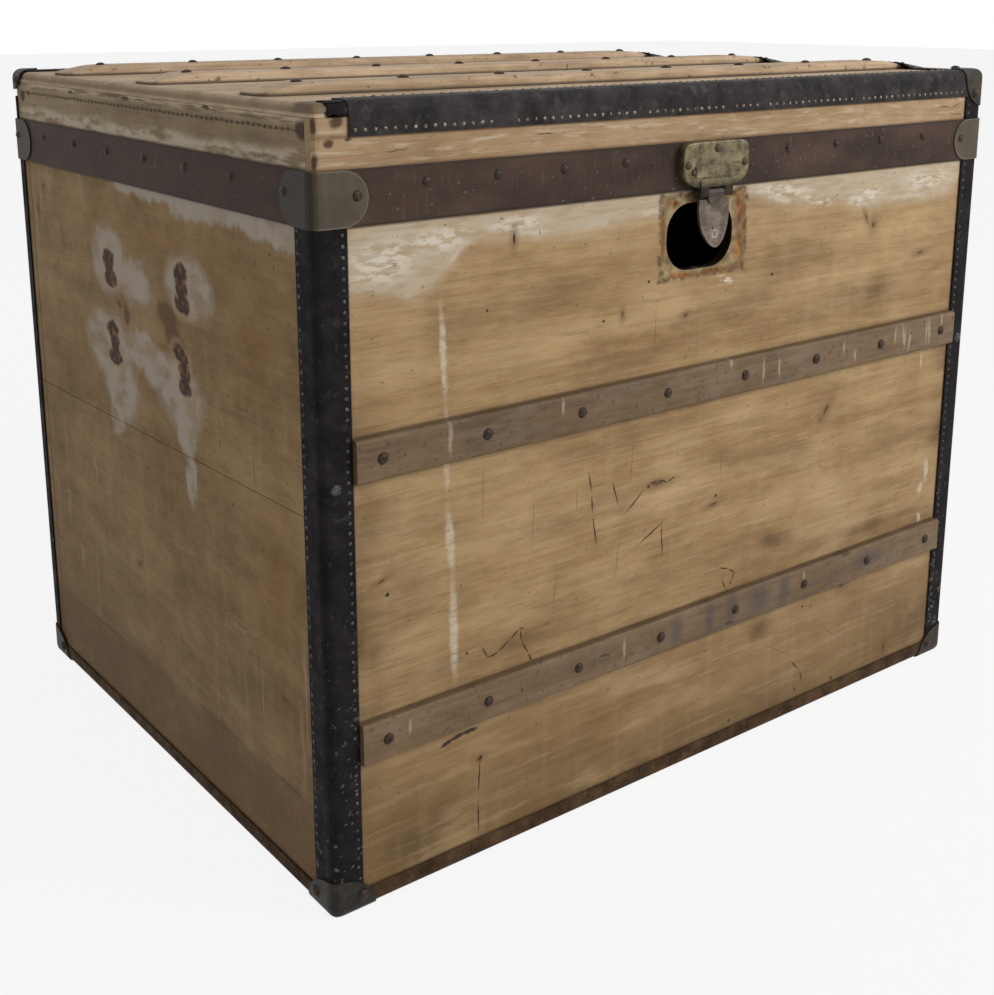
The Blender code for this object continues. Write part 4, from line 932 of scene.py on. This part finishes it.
# %% Leather finishes
def old_leather(name, tones, dust, dust_low, shine, flecked=1.0):
    """Cracked leather, with dust that lies where noise is above a level."""
    material, add, place = start_finish(name)
    clouds, base = mottled(add, place, 26, 5.0, 0.6, tones)
    scuffs = add("TexNoise", {"Vector": place, "Scale": 1 / 14, "Detail": 5.0,
                              "Roughness": 0.55})
    base = tinted(add, base, dust, scuffs, dust_low, dust_low + 0.16, 0.6)
    # Flecks where the surface is knocked through, more of them near the floor.
    low = add("MapRange", {"Value": add("SeparateXYZ", {0: place}).outputs["Z"],
                           "From Min": 260.0, "From Max": 60.0, "To Min": 0.08,
                           "To Max": 0.7})
    flecks = add("TexNoise", {"Vector": place, "Scale": 1 / 5, "Detail": 2.0})
    flecks = add("MapRange", {"Value": flecks, "From Min": 0.64, "From Max": 0.70})
    base = laid_on(add, base, "#7b7a78", flecks, low, flecked)
    plates = add("TexVoronoi", {"Vector": place, "Scale": 1 / 3.4},
                 feature="DISTANCE_TO_EDGE")
    seams = add("MapRange", {"Value": plates.outputs["Distance"], "From Min": 0.0,
                             "From Max": 0.12})
    rough = add("MapRange", {"Value": scuffs, "From Min": 0.35, "From Max": 0.65,
                             "To Min": shine, "To Max": shine + 0.25})
    height = relief(add, seams, 0.35, (clouds, 1.0))
    close_finish(add, base, rough, height, 0.0006, Specular_IOR_Level=0.06)
    return material


# Black bridle leather, cracked and rubbed: near black with grey patches.
black_leather = old_leather("cracked_black_leather", ("#171415", "#1f1c1d", "#2a2526"),
                            "#3b3737", 0.58, 0.52)
dress(black_leather, "corner_leather_", "lid_corner_leather_")
# The same leather where dust settles: the lid's edges, greyer and a little shinier.
dusty_leather = old_leather("dusty_black_leather", ("#262324", "#332f30", "#403b3b"),
                            "#5c5754", 0.54, 0.45, 0.3)
dress(dusty_leather, "lid_binding_")
# Thin brown leather of the bottom strips, rubbed pale by floors.
rubbed_leather = old_leather("rubbed_brown_leather", ("#38291b", "#4c3a28", "#614c37"),
                             "#75604a", 0.60, 0.55, 0.0)
dress(rubbed_leather, "bottom_binding_")

# %% [markdown]
# ## Vulcanised fibre
#
# The band is vulcanised fibre: paper pulp, dyed and pressed hard. It is matt, chocolate
# brown, with fine upright scratches, and lighter where it has been rubbed. It has no grain, so
# it could be one plain colour, but the scratches and specks are what tell it from plastic.

# %% Fibre band's finish
fibre, add, place = start_finish("vulcanised_fibre_brown")
base = add("ValToRGB", {"Fac": cloud(add, place, (70, 70, 30), 4.0)},
           stops=[(0.36, "#372b25"), (0.50, "#42342c"), (0.66, "#4e3d34")])
base = tinted(add, base, "#6f5d52", cloud(add, place, (3, 3, 24), 2.0), 0.62, 0.72, 0.25)
base = specks(add, base, "#8a7a70", place, 4.0, 0.70, 0.6)
base = specks(add, base, "#2f2521", place, 7.0, 0.70, 0.6)
parts = add("SeparateXYZ", {0: place})
# Painted shade along the band's upper and lower edges.
edges = away(add, parts.outputs["Z"], BAND_MIDDLE)
base = tinted(add, base, "#2f2622", edges, 18.2, 20.6, 0.7)
# Painted shade on the band's ends.
ends = add("Math", {0: parts.outputs["X"]}, operation="ABSOLUTE")
base = tinted(add, base, "#38281f", ends, 402.0, 402.8, 0.45)
fine = add("TexNoise", {"Vector": place, "Scale": 1 / 2.2, "Detail": 3.0})
close_finish(add, base, 0.58, fine, 0.0002, Specular_IOR_Level=0.12)
dress(fibre, "band_")

# %% [markdown]
# ## Pressed steel, brass and iron
#
# The corner brackets, caps and hinges are pressed from thin sheet steel and painted a drab
# olive brown. Paint hides the metal, so the shader stays non-metallic, and wear shows as
# lighter bare steel along the rims, where the brackets' round ends also carry a painted
# highlight. The lock plate is cast brass under a khaki patina: partly metallic and rough, with
# painted shade on its sides and round its knuckle. The tongue is bare iron gone grey-brown,
# with painted shade round its knuckle.

# %% Painted steel
def painted_steel(name, tones, worn, grime_tone):
    """Old paint on sheet steel, rubbed in patches and spotted with rust."""
    material, add, place = start_finish(name)
    _, base = mottled(add, place, 20, 4.0, 0.5, tones)
    scuffs = add("TexNoise", {"Vector": place, "Scale": 1 / 5, "Detail": 4.0,
                              "Roughness": 0.6})
    base = tinted(add, base, worn, scuffs, 0.58, 0.74, 0.35)
    base = tinted(add, base, grime_tone, scuffs, 0.42, 0.28, 0.4)
    return material, add, place, base, scuffs


# %% Brackets' finish
# Drab olive-brown paint on the band's corner brackets, with a worn rim at each end that carries
# a painted highlight.
BRACKET_END_X, BRACKET_END_Y = 377.4, 282.9   # the middle of the round ends
BRACKET_RADIUS = 20.9
bracket_steel, add, place, base, scuffs = painted_steel(
    "olive_painted_steel", ("#4a4135", "#51483b", "#594f41"), "#62584a", "#3f372c")
parts = add("SeparateXYZ", {0: add("VectorMath", {0: place}, operation="ABSOLUTE")})
up = add("Math", {0: parts.outputs["Z"], 1: BAND_MIDDLE}, operation="SUBTRACT")
along_x = add("Math", {0: parts.outputs["X"], 1: BRACKET_END_X}, operation="SUBTRACT")
along_y = add("Math", {0: parts.outputs["Y"], 1: BRACKET_END_Y}, operation="SUBTRACT")
along = add("Math", {0: along_x, 1: along_y}, operation="MINIMUM")
along = add("Math", {0: along, 1: 0.0}, operation="MINIMUM")
reach = add("VectorMath", {0: add("CombineXYZ", {"X": along, "Y": up})},
            operation="LENGTH").outputs["Value"]
# A worn rim round each round end, lightened as a painted highlight.
base = tinted(add, base, "#8b8375", reach, BRACKET_RADIUS - 1.4, BRACKET_RADIUS - 0.7, 0.35)
# The legs on the lid's ends are dark brown like the band beside them, partly as painted shade.
base = tinted(add, base, "#302821", parts.outputs["X"], 398.5, 402.5)
close_finish(add, base, 0.5, scuffs, 0.00012, Specular_IOR_Level=0.2)
dress(bracket_steel, "bracket_")

# %% Caps' and hinges' finish
# Nearly black, rubbed paint on the pressed corner caps.
cap_steel, add, place, base, scuffs = painted_steel(
    "dark_painted_steel", ("#1f1b17", "#2b2620", "#3b342b"), "#524a3d", "#171411")
close_finish(add, base, 0.52, scuffs, 0.0003, Specular_IOR_Level=0.2)
dress(cap_steel, "bottom_cap_", "lid_cap_")

# Brown paint on the hinges.
hinge_steel, add, place, base, scuffs = painted_steel(
    "brown_painted_steel", ("#3c3128", "#4b3f34", "#5a4c3e"), "#6f6557", "#2a231d")
close_finish(add, base, 0.5, scuffs, 0.0002, Specular_IOR_Level=0.25)
dress(hinge_steel, "hinge_")

# %% Brass plate's finish
PLATE_RIVETS = [(-1, 599.3, 4.0, 4.0, 0), (-36.5, 586.4, 4.0, 4.0, 0), (34, 585.4, 4.0, 4.0, 0),
                (-29.9, 579.6, 3.3, 3.3, 0)]
# Cast brass under old patina: khaki, dull, brighter where fingers have rubbed it.
brass, add, place = start_finish("patinated_cast_brass")
_, base = mottled(add, place, 9, 4.0, 0.6, ("#4a4231", "#6e6549", "#877c5b"))
parts = add("SeparateXYZ", {0: place})
# Painted shade on the plate's sides, darker towards the board.
base = tinted(add, base, "#39352a", parts.outputs["Y"], -316.0, -311.0, 0.85)
# Painted shade round the knuckle, where the tongue hangs.
knuckle_shade = add("MapRange", {"Value": parts.outputs["Z"], "From Min": 573.0, "From Max": 566.0,
                           "To Max": 0.85})
base = laid_on(add, base, "#1f1b15", knuckle_shade)
base = marked(add, base, "#3b3428", place, "front", PLATE_RIVETS, 0.2, 0.9)
grit = add("TexNoise", {"Vector": place, "Scale": 1 / 2.5, "Detail": 3.0})
rough = add("MapRange", {"Value": knuckle_shade, "To Min": 0.5, "To Max": 0.9})
close_finish(add, base, rough, grit, 0.0003, Metallic=0.35, Specular_IOR_Level=0.3)
dress(brass, "lock_plate")

# %% Iron tongue's finish
# Bare iron gone grey-brown, with a light square outline stamped on the tongue.
iron, add, place = start_finish("dull_bare_iron")
_, base = mottled(add, place, 12, 4.0, 0.5, ("#4b4137", "#62574b", "#786d60"))
base = specks(add, base, "#3a2a1e", place, 4.0, 0.66, 0.7)
# Painted shade at the top of the tongue, round its knuckle.
eye = add("SeparateXYZ", {0: place}).outputs["Z"]
base = tinted(add, base, "#2b2019", eye, 548.0, 558.0, 0.7)
# The bare square stamp, 6 mm wide: its outline is rubbed light.
outline = away(add, square(add, place, -1.0, 524.0, 3.0, 3.0), 1.0)
base = tinted(add, base, "#b3a796", outline, 0.24, 0.10, 0.7)
grit = add("TexNoise", {"Vector": place, "Scale": 1 / 3, "Detail": 3.0})
close_finish(add, base, 0.5, grit, 0.0003, Metallic=0.45)
dress(iron, "hasp_")
print("CAD nodes still without a finish:", [name for name in NODES if name not in finished])

# %% [markdown]
# ## Nails and tacks
#
# Everything on the trunk is nailed. A head is a low dome with a short skirt that sinks into
# what carries it. A squashed ball would look the same, but half of it would be hidden in the
# wood. So it is drawn as half a profile and spun round, with few sides, because there are
# about a thousand of them. To find its place, a ray is sent at the fitting from outside, so
# each head sits on the surface it meets and leans as that surface does.

# %% One head
SUNK = 0.0004                 # depth of a head's skirt under the surface


def head_mesh(name, radius, rise, sides):
    """A domed head that stands up along Z at the origin; sizes in metres."""
    profile = [(0.0, rise), (0.5 * radius, 0.86 * rise), (0.86 * radius, 0.45 * rise),
               (radius, 0.0), (radius, -SUNK)]
    bm = bmesh.new()
    verts = [bm.verts.new((x, 0.0, z)) for x, z in profile]
    edges = [bm.edges.new(pair) for pair in zip(verts, verts[1:])]
    bmesh.ops.spin(bm, geom=verts + edges, cent=(0, 0, 0), axis=(0, 0, 1), dvec=(0, 0, 0),
                   angle=math.tau, steps=sides, use_merge=True)
    bmesh.ops.remove_doubles(bm, verts=bm.verts, dist=1e-6)
    bmesh.ops.holes_fill(bm, edges=bm.edges, sides=0)
    bmesh.ops.recalc_face_normals(bm, faces=bm.faces)
    for face in bm.faces:
        face.smooth = len(face.verts) < 5
    mesh = bpy.data.meshes.new(name)
    bm.to_mesh(mesh)
    bm.free()
    print(name, len(mesh.polygons), "faces")
    return mesh


BAND_NAIL = head_mesh("band_nail_head", 0.0042, 0.0020, 12)
BATTEN_NAIL = head_mesh("batten_nail_head", 0.0051, 0.0026, 14)
TACK = head_mesh("tack_head", 0.00175, 0.0010, 8)

# %% Where a head lands
OUTWARD = {"front": (0, -1, 0), "back": (0, 1, 0), "left": (-1, 0, 0), "right": (1, 0, 0),
           "top": (0, 0, 1)}
surfaces = {}


def landing(node, side, across, up):
    """Point and outward direction where a ray from outside meets a node, or None."""
    if node not in surfaces:
        mesh = NODES[node].data
        surfaces[node] = BVHTree.FromPolygons([v.co for v in mesh.vertices],
                                              [p.vertices for p in mesh.polygons])
    out = Vector(OUTWARD[side])
    inner = (v / 1000 for v in (across, up))
    start = Vector([0 if along else next(inner) for along in OUTWARD[side]])
    hit, normal, _, _ = surfaces[node].ray_cast(start + out, -out)
    return None if hit is None else (hit, normal)


def finish_piece(name, bm, material, body):
    """Makes a mesh a named piece of the trunk that rides on a body."""
    mesh = bpy.data.meshes.new(name)
    bm.to_mesh(mesh)
    bm.free()
    mesh.materials.append(material)
    piece = bpy.data.objects.new(name, mesh)
    bpy.context.scene.collection.objects.link(piece)
    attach(piece, body)
    return piece


def drive(name, head, material, spots, seed, lean=2.5, missing=0.0):
    """Drives one kind of head in at each spot: (node, side, across, up) in millimetres.

    Each leans by up to some degrees, and a share of them is missing.
    """
    chance = random.Random(seed)
    bm = bmesh.new()
    count = 0
    for node, side, across, up in spots:
        skip = chance.random() < missing
        size = chance.uniform(0.93, 1.07)
        tilt = [math.radians(chance.uniform(-lean, lean)) for _ in "XY"]
        turn = chance.uniform(0, math.tau)
        found = None if skip else landing(node, side, across, up)
        if found is None:
            continue
        hit, normal = found
        place = (Matrix.Translation(hit) @ normal.to_track_quat("Z", "Y").to_matrix().to_4x4()
                 @ Matrix.Rotation(tilt[0], 4, "X") @ Matrix.Rotation(tilt[1], 4, "Y")
                 @ Matrix.Rotation(turn, 4, "Z") @ Matrix.Scale(size, 4))
        copy = head.copy()
        copy.transform(place)
        bm.from_mesh(copy)
        bpy.data.meshes.remove(copy)
        count += 1
    body = BODY_OF[spots[0][0]]
    print(name, count, "heads on", body)
    finish_piece(name, bm, material, body)


# %% Head finishes
def head_finish(name, tones, metallic, rough):
    """Worn metal of a small head: a few tones of noise, finer than the head."""
    material, add, place = start_finish(name)
    clouds, base = mottled(add, place, 2.5, 2.0, 0.5, tones, (0.36, 0.50, 0.64))
    close_finish(add, base, rough, clouds, 0.0002, Metallic=metallic,
                 Specular_IOR_Level=0.2)
    return material


# Blacked iron nails: dark heads that only glint on top.
dark_nail = head_finish("blacked_iron_nail", ("#221810", "#33271d", "#493a2d"), 0.0, 0.5)
# Bright iron tacks gone dull: small grey dots on the black leather.
dull_tack = head_finish("dull_iron_tack", ("#2b2a2b", "#424244", "#5c5c5e"), 0.5, 0.5)
# Brassed tacks on the lid's edge: the wash of brass is half gone.
pale_tack = head_finish("brassed_iron_tack", ("#4a433b", "#726859", "#958a7a"), 0.5, 0.48)

# %% Nails of the band and its brackets
BAND_NAIL_Z = 592.6
BAND_NAIL_PITCH = 67.5
PLATE_HALF = 40.0             # the lock plate leaves no room for nails this near the middle
# The trunk's four corners: names of the two faces, then their directions along X and Y.
CORNERS = [(front, end, sign, out) for front, out in (("front", -1), ("back", 1))
           for end, sign in (("left", -1), ("right", 1))]
band_spots = []
for step in range(5):
    for sign in (-1, 1):
        x = sign * (step + 0.5) * BAND_NAIL_PITCH
        band_spots.append(("band_back", "back", x, BAND_NAIL_Z))
        if abs(x) > PLATE_HALF:
            band_spots.append(("band_front", "front", x, BAND_NAIL_Z))
for side in ("left", "right"):
    for y in (-182, -99, -18, 64.5, 145, 227):
        band_spots.append((f"band_{side}", side, y, BAND_NAIL_Z - 1.5))
drive("band_nails", BAND_NAIL, dark_nail, band_spots, 3)

# A bracket's nails, in from its corner: on the long side, on a front bracket's end leg, and on
# the short end leg of a back bracket.
LONG_SIDE_IN, FRONT_LEG_IN, BACK_LEG_IN = 34.5, 37.5, 9.0
bracket_spots = []
for front, end, sign, out in CORNERS:
    node = f"bracket_{front}_{end}"
    leg_in = FRONT_LEG_IN if front == "front" else BACK_LEG_IN
    bracket_spots.append((node, front, sign * (HALF_LENGTH - LONG_SIDE_IN), 586.6))
    bracket_spots.append((node, end, out * (HALF_DEPTH - leg_in), 589.0))
drive("bracket_nails", BAND_NAIL, dark_nail, bracket_spots, 5)

# %% Nails of the battens
batten_spots = {"case": [], "lid": []}
for side in ("front", "back"):
    for level, z in (("lower", 149.6), ("upper", 385.1)):
        for x in (-351, -250.7, -150.4, -50, 50, 150.4, 250.7, 351):
            batten_spots["case"].append((f"{side}_batten_{level}", side, x, z))
for row, y in zip(("front", "middle", "back"), BATTEN_ROWS):
    for x in range(-350, 351, 100):
        batten_spots["lid"].append((f"top_batten_{row}", "top", x, y))
drive("batten_nails_case", BATTEN_NAIL, dark_nail, batten_spots["case"], 7)
drive("batten_nails_lid", BATTEN_NAIL, dark_nail, batten_spots["lid"], 9)

# %% Tacks of the upright corner strips
CORNER_PITCH = 8.2
CORNER_INSET = 4.2            # from the strip's edge to its tacks
# Width of a strip on each face, and of the back strips on the ends.
CORNER_LEG, BACK_END_LEG = 26.0, 15.0
corner_tacks = {"case": [], "lid": []}
for front, end, sign, out in CORNERS:
    face_x = sign * (HALF_LENGTH - CORNER_LEG + CORNER_INSET)
    end_leg = CORNER_LEG if front == "front" else BACK_END_LEG
    end_y = out * (HALF_DEPTH - end_leg + CORNER_INSET)
    node = f"corner_leather_{front}_{end}"
    z = 42.0
    while z < 560:
        corner_tacks["case"].append((node, front, face_x, z))
        if front == "front":
            corner_tacks["case"].append((node, end, end_y, z + 3))
        z += CORNER_PITCH
    if (front, end) != ("front", "left"):
        node = f"lid_corner_leather_{front}_{end}"
        for z in (612.0, 620.0):
            corner_tacks["lid"].append((node, front, face_x, z))
            if (front, end) != ("back", "left"):
                corner_tacks["lid"].append((node, end, end_y, z))
drive("corner_tacks_case", TACK, dull_tack, corner_tacks["case"], 11, lean=6, missing=0.07)
drive("corner_tacks_lid", TACK, dull_tack, corner_tacks["lid"], 13, lean=6)
# One larger nail holds each front strip at mid height.
drive("corner_nails", BATTEN_NAIL, dull_tack,
      [("corner_leather_front_left", "front", -390, 366),
       ("corner_leather_front_right", "front", 390, 371)], 15)

# %% Tacks of the lid's edge strips
TOP_ROW_Y, TOP_ROW_X = 287.8, 379.5     # rows of tacks on the lid's top, from its middle
edge_tacks = []
for side, sign in (("front", -1), ("back", 1)):
    x = -366.0
    while x < 366:
        edge_tacks.append((f"lid_binding_{side}", side, x, LID_ROW))
        edge_tacks.append((f"lid_binding_{side}", "top", x + 3, sign * TOP_ROW_Y))
        x += TACK_PITCH
y = -266.0
while y < 268:
    edge_tacks.append(("lid_binding_right", "right", y, LID_ROW))
    edge_tacks.append(("lid_binding_right", "top", TOP_ROW_X, y))
    y += TACK_PITCH
drive("lid_edge_tacks", TACK, pale_tack, edge_tacks, 17, lean=6, missing=0.05)

# %% Tacks of the bottom strips
FOOT_ROW = 14.6               # height of the tacks
bottom_tacks = []
for side, pitch, steps in (("front", 66.0, 5), ("back", 66.0, 5), ("left", 62.0, 4),
                           ("right", 62.0, 4)):
    for step in range(-steps, steps + 1):
        bottom_tacks.append((f"bottom_binding_{side}", side, pitch * step, FOOT_ROW))
drive("bottom_tacks", TACK, dark_nail, bottom_tacks, 19, lean=6, missing=0.1)

# %% Nails of the corner caps
BOTTOM_CAP_IN, LID_CAP_IN, LID_CAP_TOP_IN = 25, 14, 19      # from the corner to the nails
cap_spots = {"case": [], "lid": []}
for front, end, sign, out in CORNERS:
    node = f"bottom_cap_{front}_{end}"
    cap_spots["case"].append((node, front, sign * (HALF_LENGTH - BOTTOM_CAP_IN), 16.0))
    cap_spots["case"].append((node, end, out * (HALF_DEPTH - BOTTOM_CAP_IN), 16.0))
    if end == "right":
        node = f"lid_cap_{front}_{end}"
        cap_spots["lid"].append((node, front, sign * (HALF_LENGTH - LID_CAP_IN), 632.0))
        cap_spots["lid"].append((node, end, out * (HALF_DEPTH - LID_CAP_IN), 632.0))
        cap_spots["lid"].append((node, "top", sign * (HALF_LENGTH - LID_CAP_TOP_IN),
                                 out * (HALF_DEPTH - LID_CAP_TOP_IN)))
# The back left cap is worn short, so its one nail sits higher.
cap_spots["lid"].append(("lid_cap_back_left", "left", HALF_DEPTH - LID_CAP_IN, 645.0))
drive("cap_nails_case", BATTEN_NAIL, dark_nail, cap_spots["case"], 21)
drive("cap_nails_lid", BATTEN_NAIL, dark_nail, cap_spots["lid"], 23)

# %% [markdown]
# ## Hinge screws
#
# Each hinge leaf is held by slotted screws. A slot could be cut with a Boolean modifier, but
# that leaves untidy faces on so small a piece. Here the head is a thin disc with two
# half-round lands on it, each cut from a disc by a plane beside the slot.

# %% Screws
SCREW_RADIUS = 0.0031
SCREW_RISE = 0.0009
LAND_RISE = 0.0007
SLOT_HALF = 0.00035           # half of the slot's width


def screw_mesh():
    """A slotted screw head that stands up along Z at the origin."""
    bm = bmesh.new()
    bmesh.ops.create_cone(bm, cap_ends=True, segments=20, radius1=SCREW_RADIUS,
                          radius2=SCREW_RADIUS, depth=SCREW_RISE)
    for side in (-1, 1):
        land = bmesh.new()
        bmesh.ops.create_cone(land, cap_ends=True, segments=20, radius1=SCREW_RADIUS * 0.99,
                              radius2=SCREW_RADIUS * 0.82, depth=LAND_RISE)
        bmesh.ops.translate(land, verts=land.verts, vec=(0, 0, SCREW_RISE / 2 + 0.0003))
        bmesh.ops.bisect_plane(land, geom=land.verts[:] + land.edges[:] + land.faces[:],
                               plane_co=(0, side * SLOT_HALF, 0), plane_no=(0, -side, 0),
                               clear_outer=True)
        bmesh.ops.holes_fill(land, edges=land.edges, sides=0)
        bmesh.ops.recalc_face_normals(land, faces=land.faces)
        half = bpy.data.meshes.new("land")
        land.to_mesh(half)
        land.free()
        bm.from_mesh(half)
        bpy.data.meshes.remove(half)
    mesh = bpy.data.meshes.new("screw_head")
    bm.to_mesh(mesh)
    bm.free()
    print("screw_head", len(mesh.polygons), "faces")
    return mesh


SCREW = screw_mesh()
HINGE_MIDDLE = 230.0          # from the trunk's middle to a hinge's
screw_spots = {"case": [], "lid": []}
for end, middle in (("left", -HINGE_MIDDLE), ("right", HINGE_MIDDLE)):
    for body, outer_z, middle_z in (("case", 530, 547), ("lid", 590, 577)):
        for offset, z in ((-22, outer_z), (0, middle_z), (22, outer_z)):
            screw_spots[body].append((f"hinge_leaf_{body}_{end}", "back", middle + offset, z))
drive("hinge_screws_case", SCREW, dark_nail, screw_spots["case"], 25, lean=0)
drive("hinge_screws_lid", SCREW, dark_nail, screw_spots["lid"], 27, lean=0)

# %% [markdown]
# ## Scrap of leather
#
# The lid's front strip once ran on to the corner. A scrap of it is still stuck over the
# front edge. Modelled by hand, it would float or sink where the edge turns. So it is a small
# grid laid on the wood by rays, with a ragged outline, and then given the leather's thickness.

# %% Scrap
SCRAP_FRONT = (644.6, 646.8, 649.0, 651.2, 652.8)     # heights met from the front
SCRAP_TOP = (-303.6, -301.2, -298.0, -294.5)          # depths met from above
SCRAP_MIDDLE, SCRAP_HALF = -380.0, 8.0
SCRAP_LIFT = 0.0013                                   # its outer face above the wood, metres
SCRAP_THICKNESS = 0.0011
chance = random.Random(29)
rows = [("front", z) for z in SCRAP_FRONT] + [("top", y) for y in SCRAP_TOP]
bm = bmesh.new()
bmesh.ops.create_grid(bm, x_segments=7, y_segments=len(rows) - 1, size=1.0)
for vert in bm.verts:
    row = round((vert.co.y + 1) / 2 * (len(rows) - 1))
    side, level = rows[row]
    ragged = 1.6 if abs(vert.co.x) > 0.99 or row in (0, len(rows) - 1) else 0.3
    x = SCRAP_MIDDLE + SCRAP_HALF * vert.co.x + chance.uniform(-ragged, ragged)
    level += chance.uniform(-0.5, 0.5) if row == len(rows) - 1 else 0.0
    hit, normal = landing("lid_top_board", side, x, level)
    vert.co = hit + SCRAP_LIFT * normal
bmesh.ops.solidify(bm, geom=bm.faces[:], thickness=SCRAP_THICKNESS)
bmesh.ops.recalc_face_normals(bm, faces=bm.faces)
for face in bm.faces:
    face.smooth = True
scrap = finish_piece("leather_scrap", bm, black_leather, BODY_OF["lid_top_board"])
print("scrap of leather:", [round(1000 * d, 1) for d in scrap.dimensions], "mm")
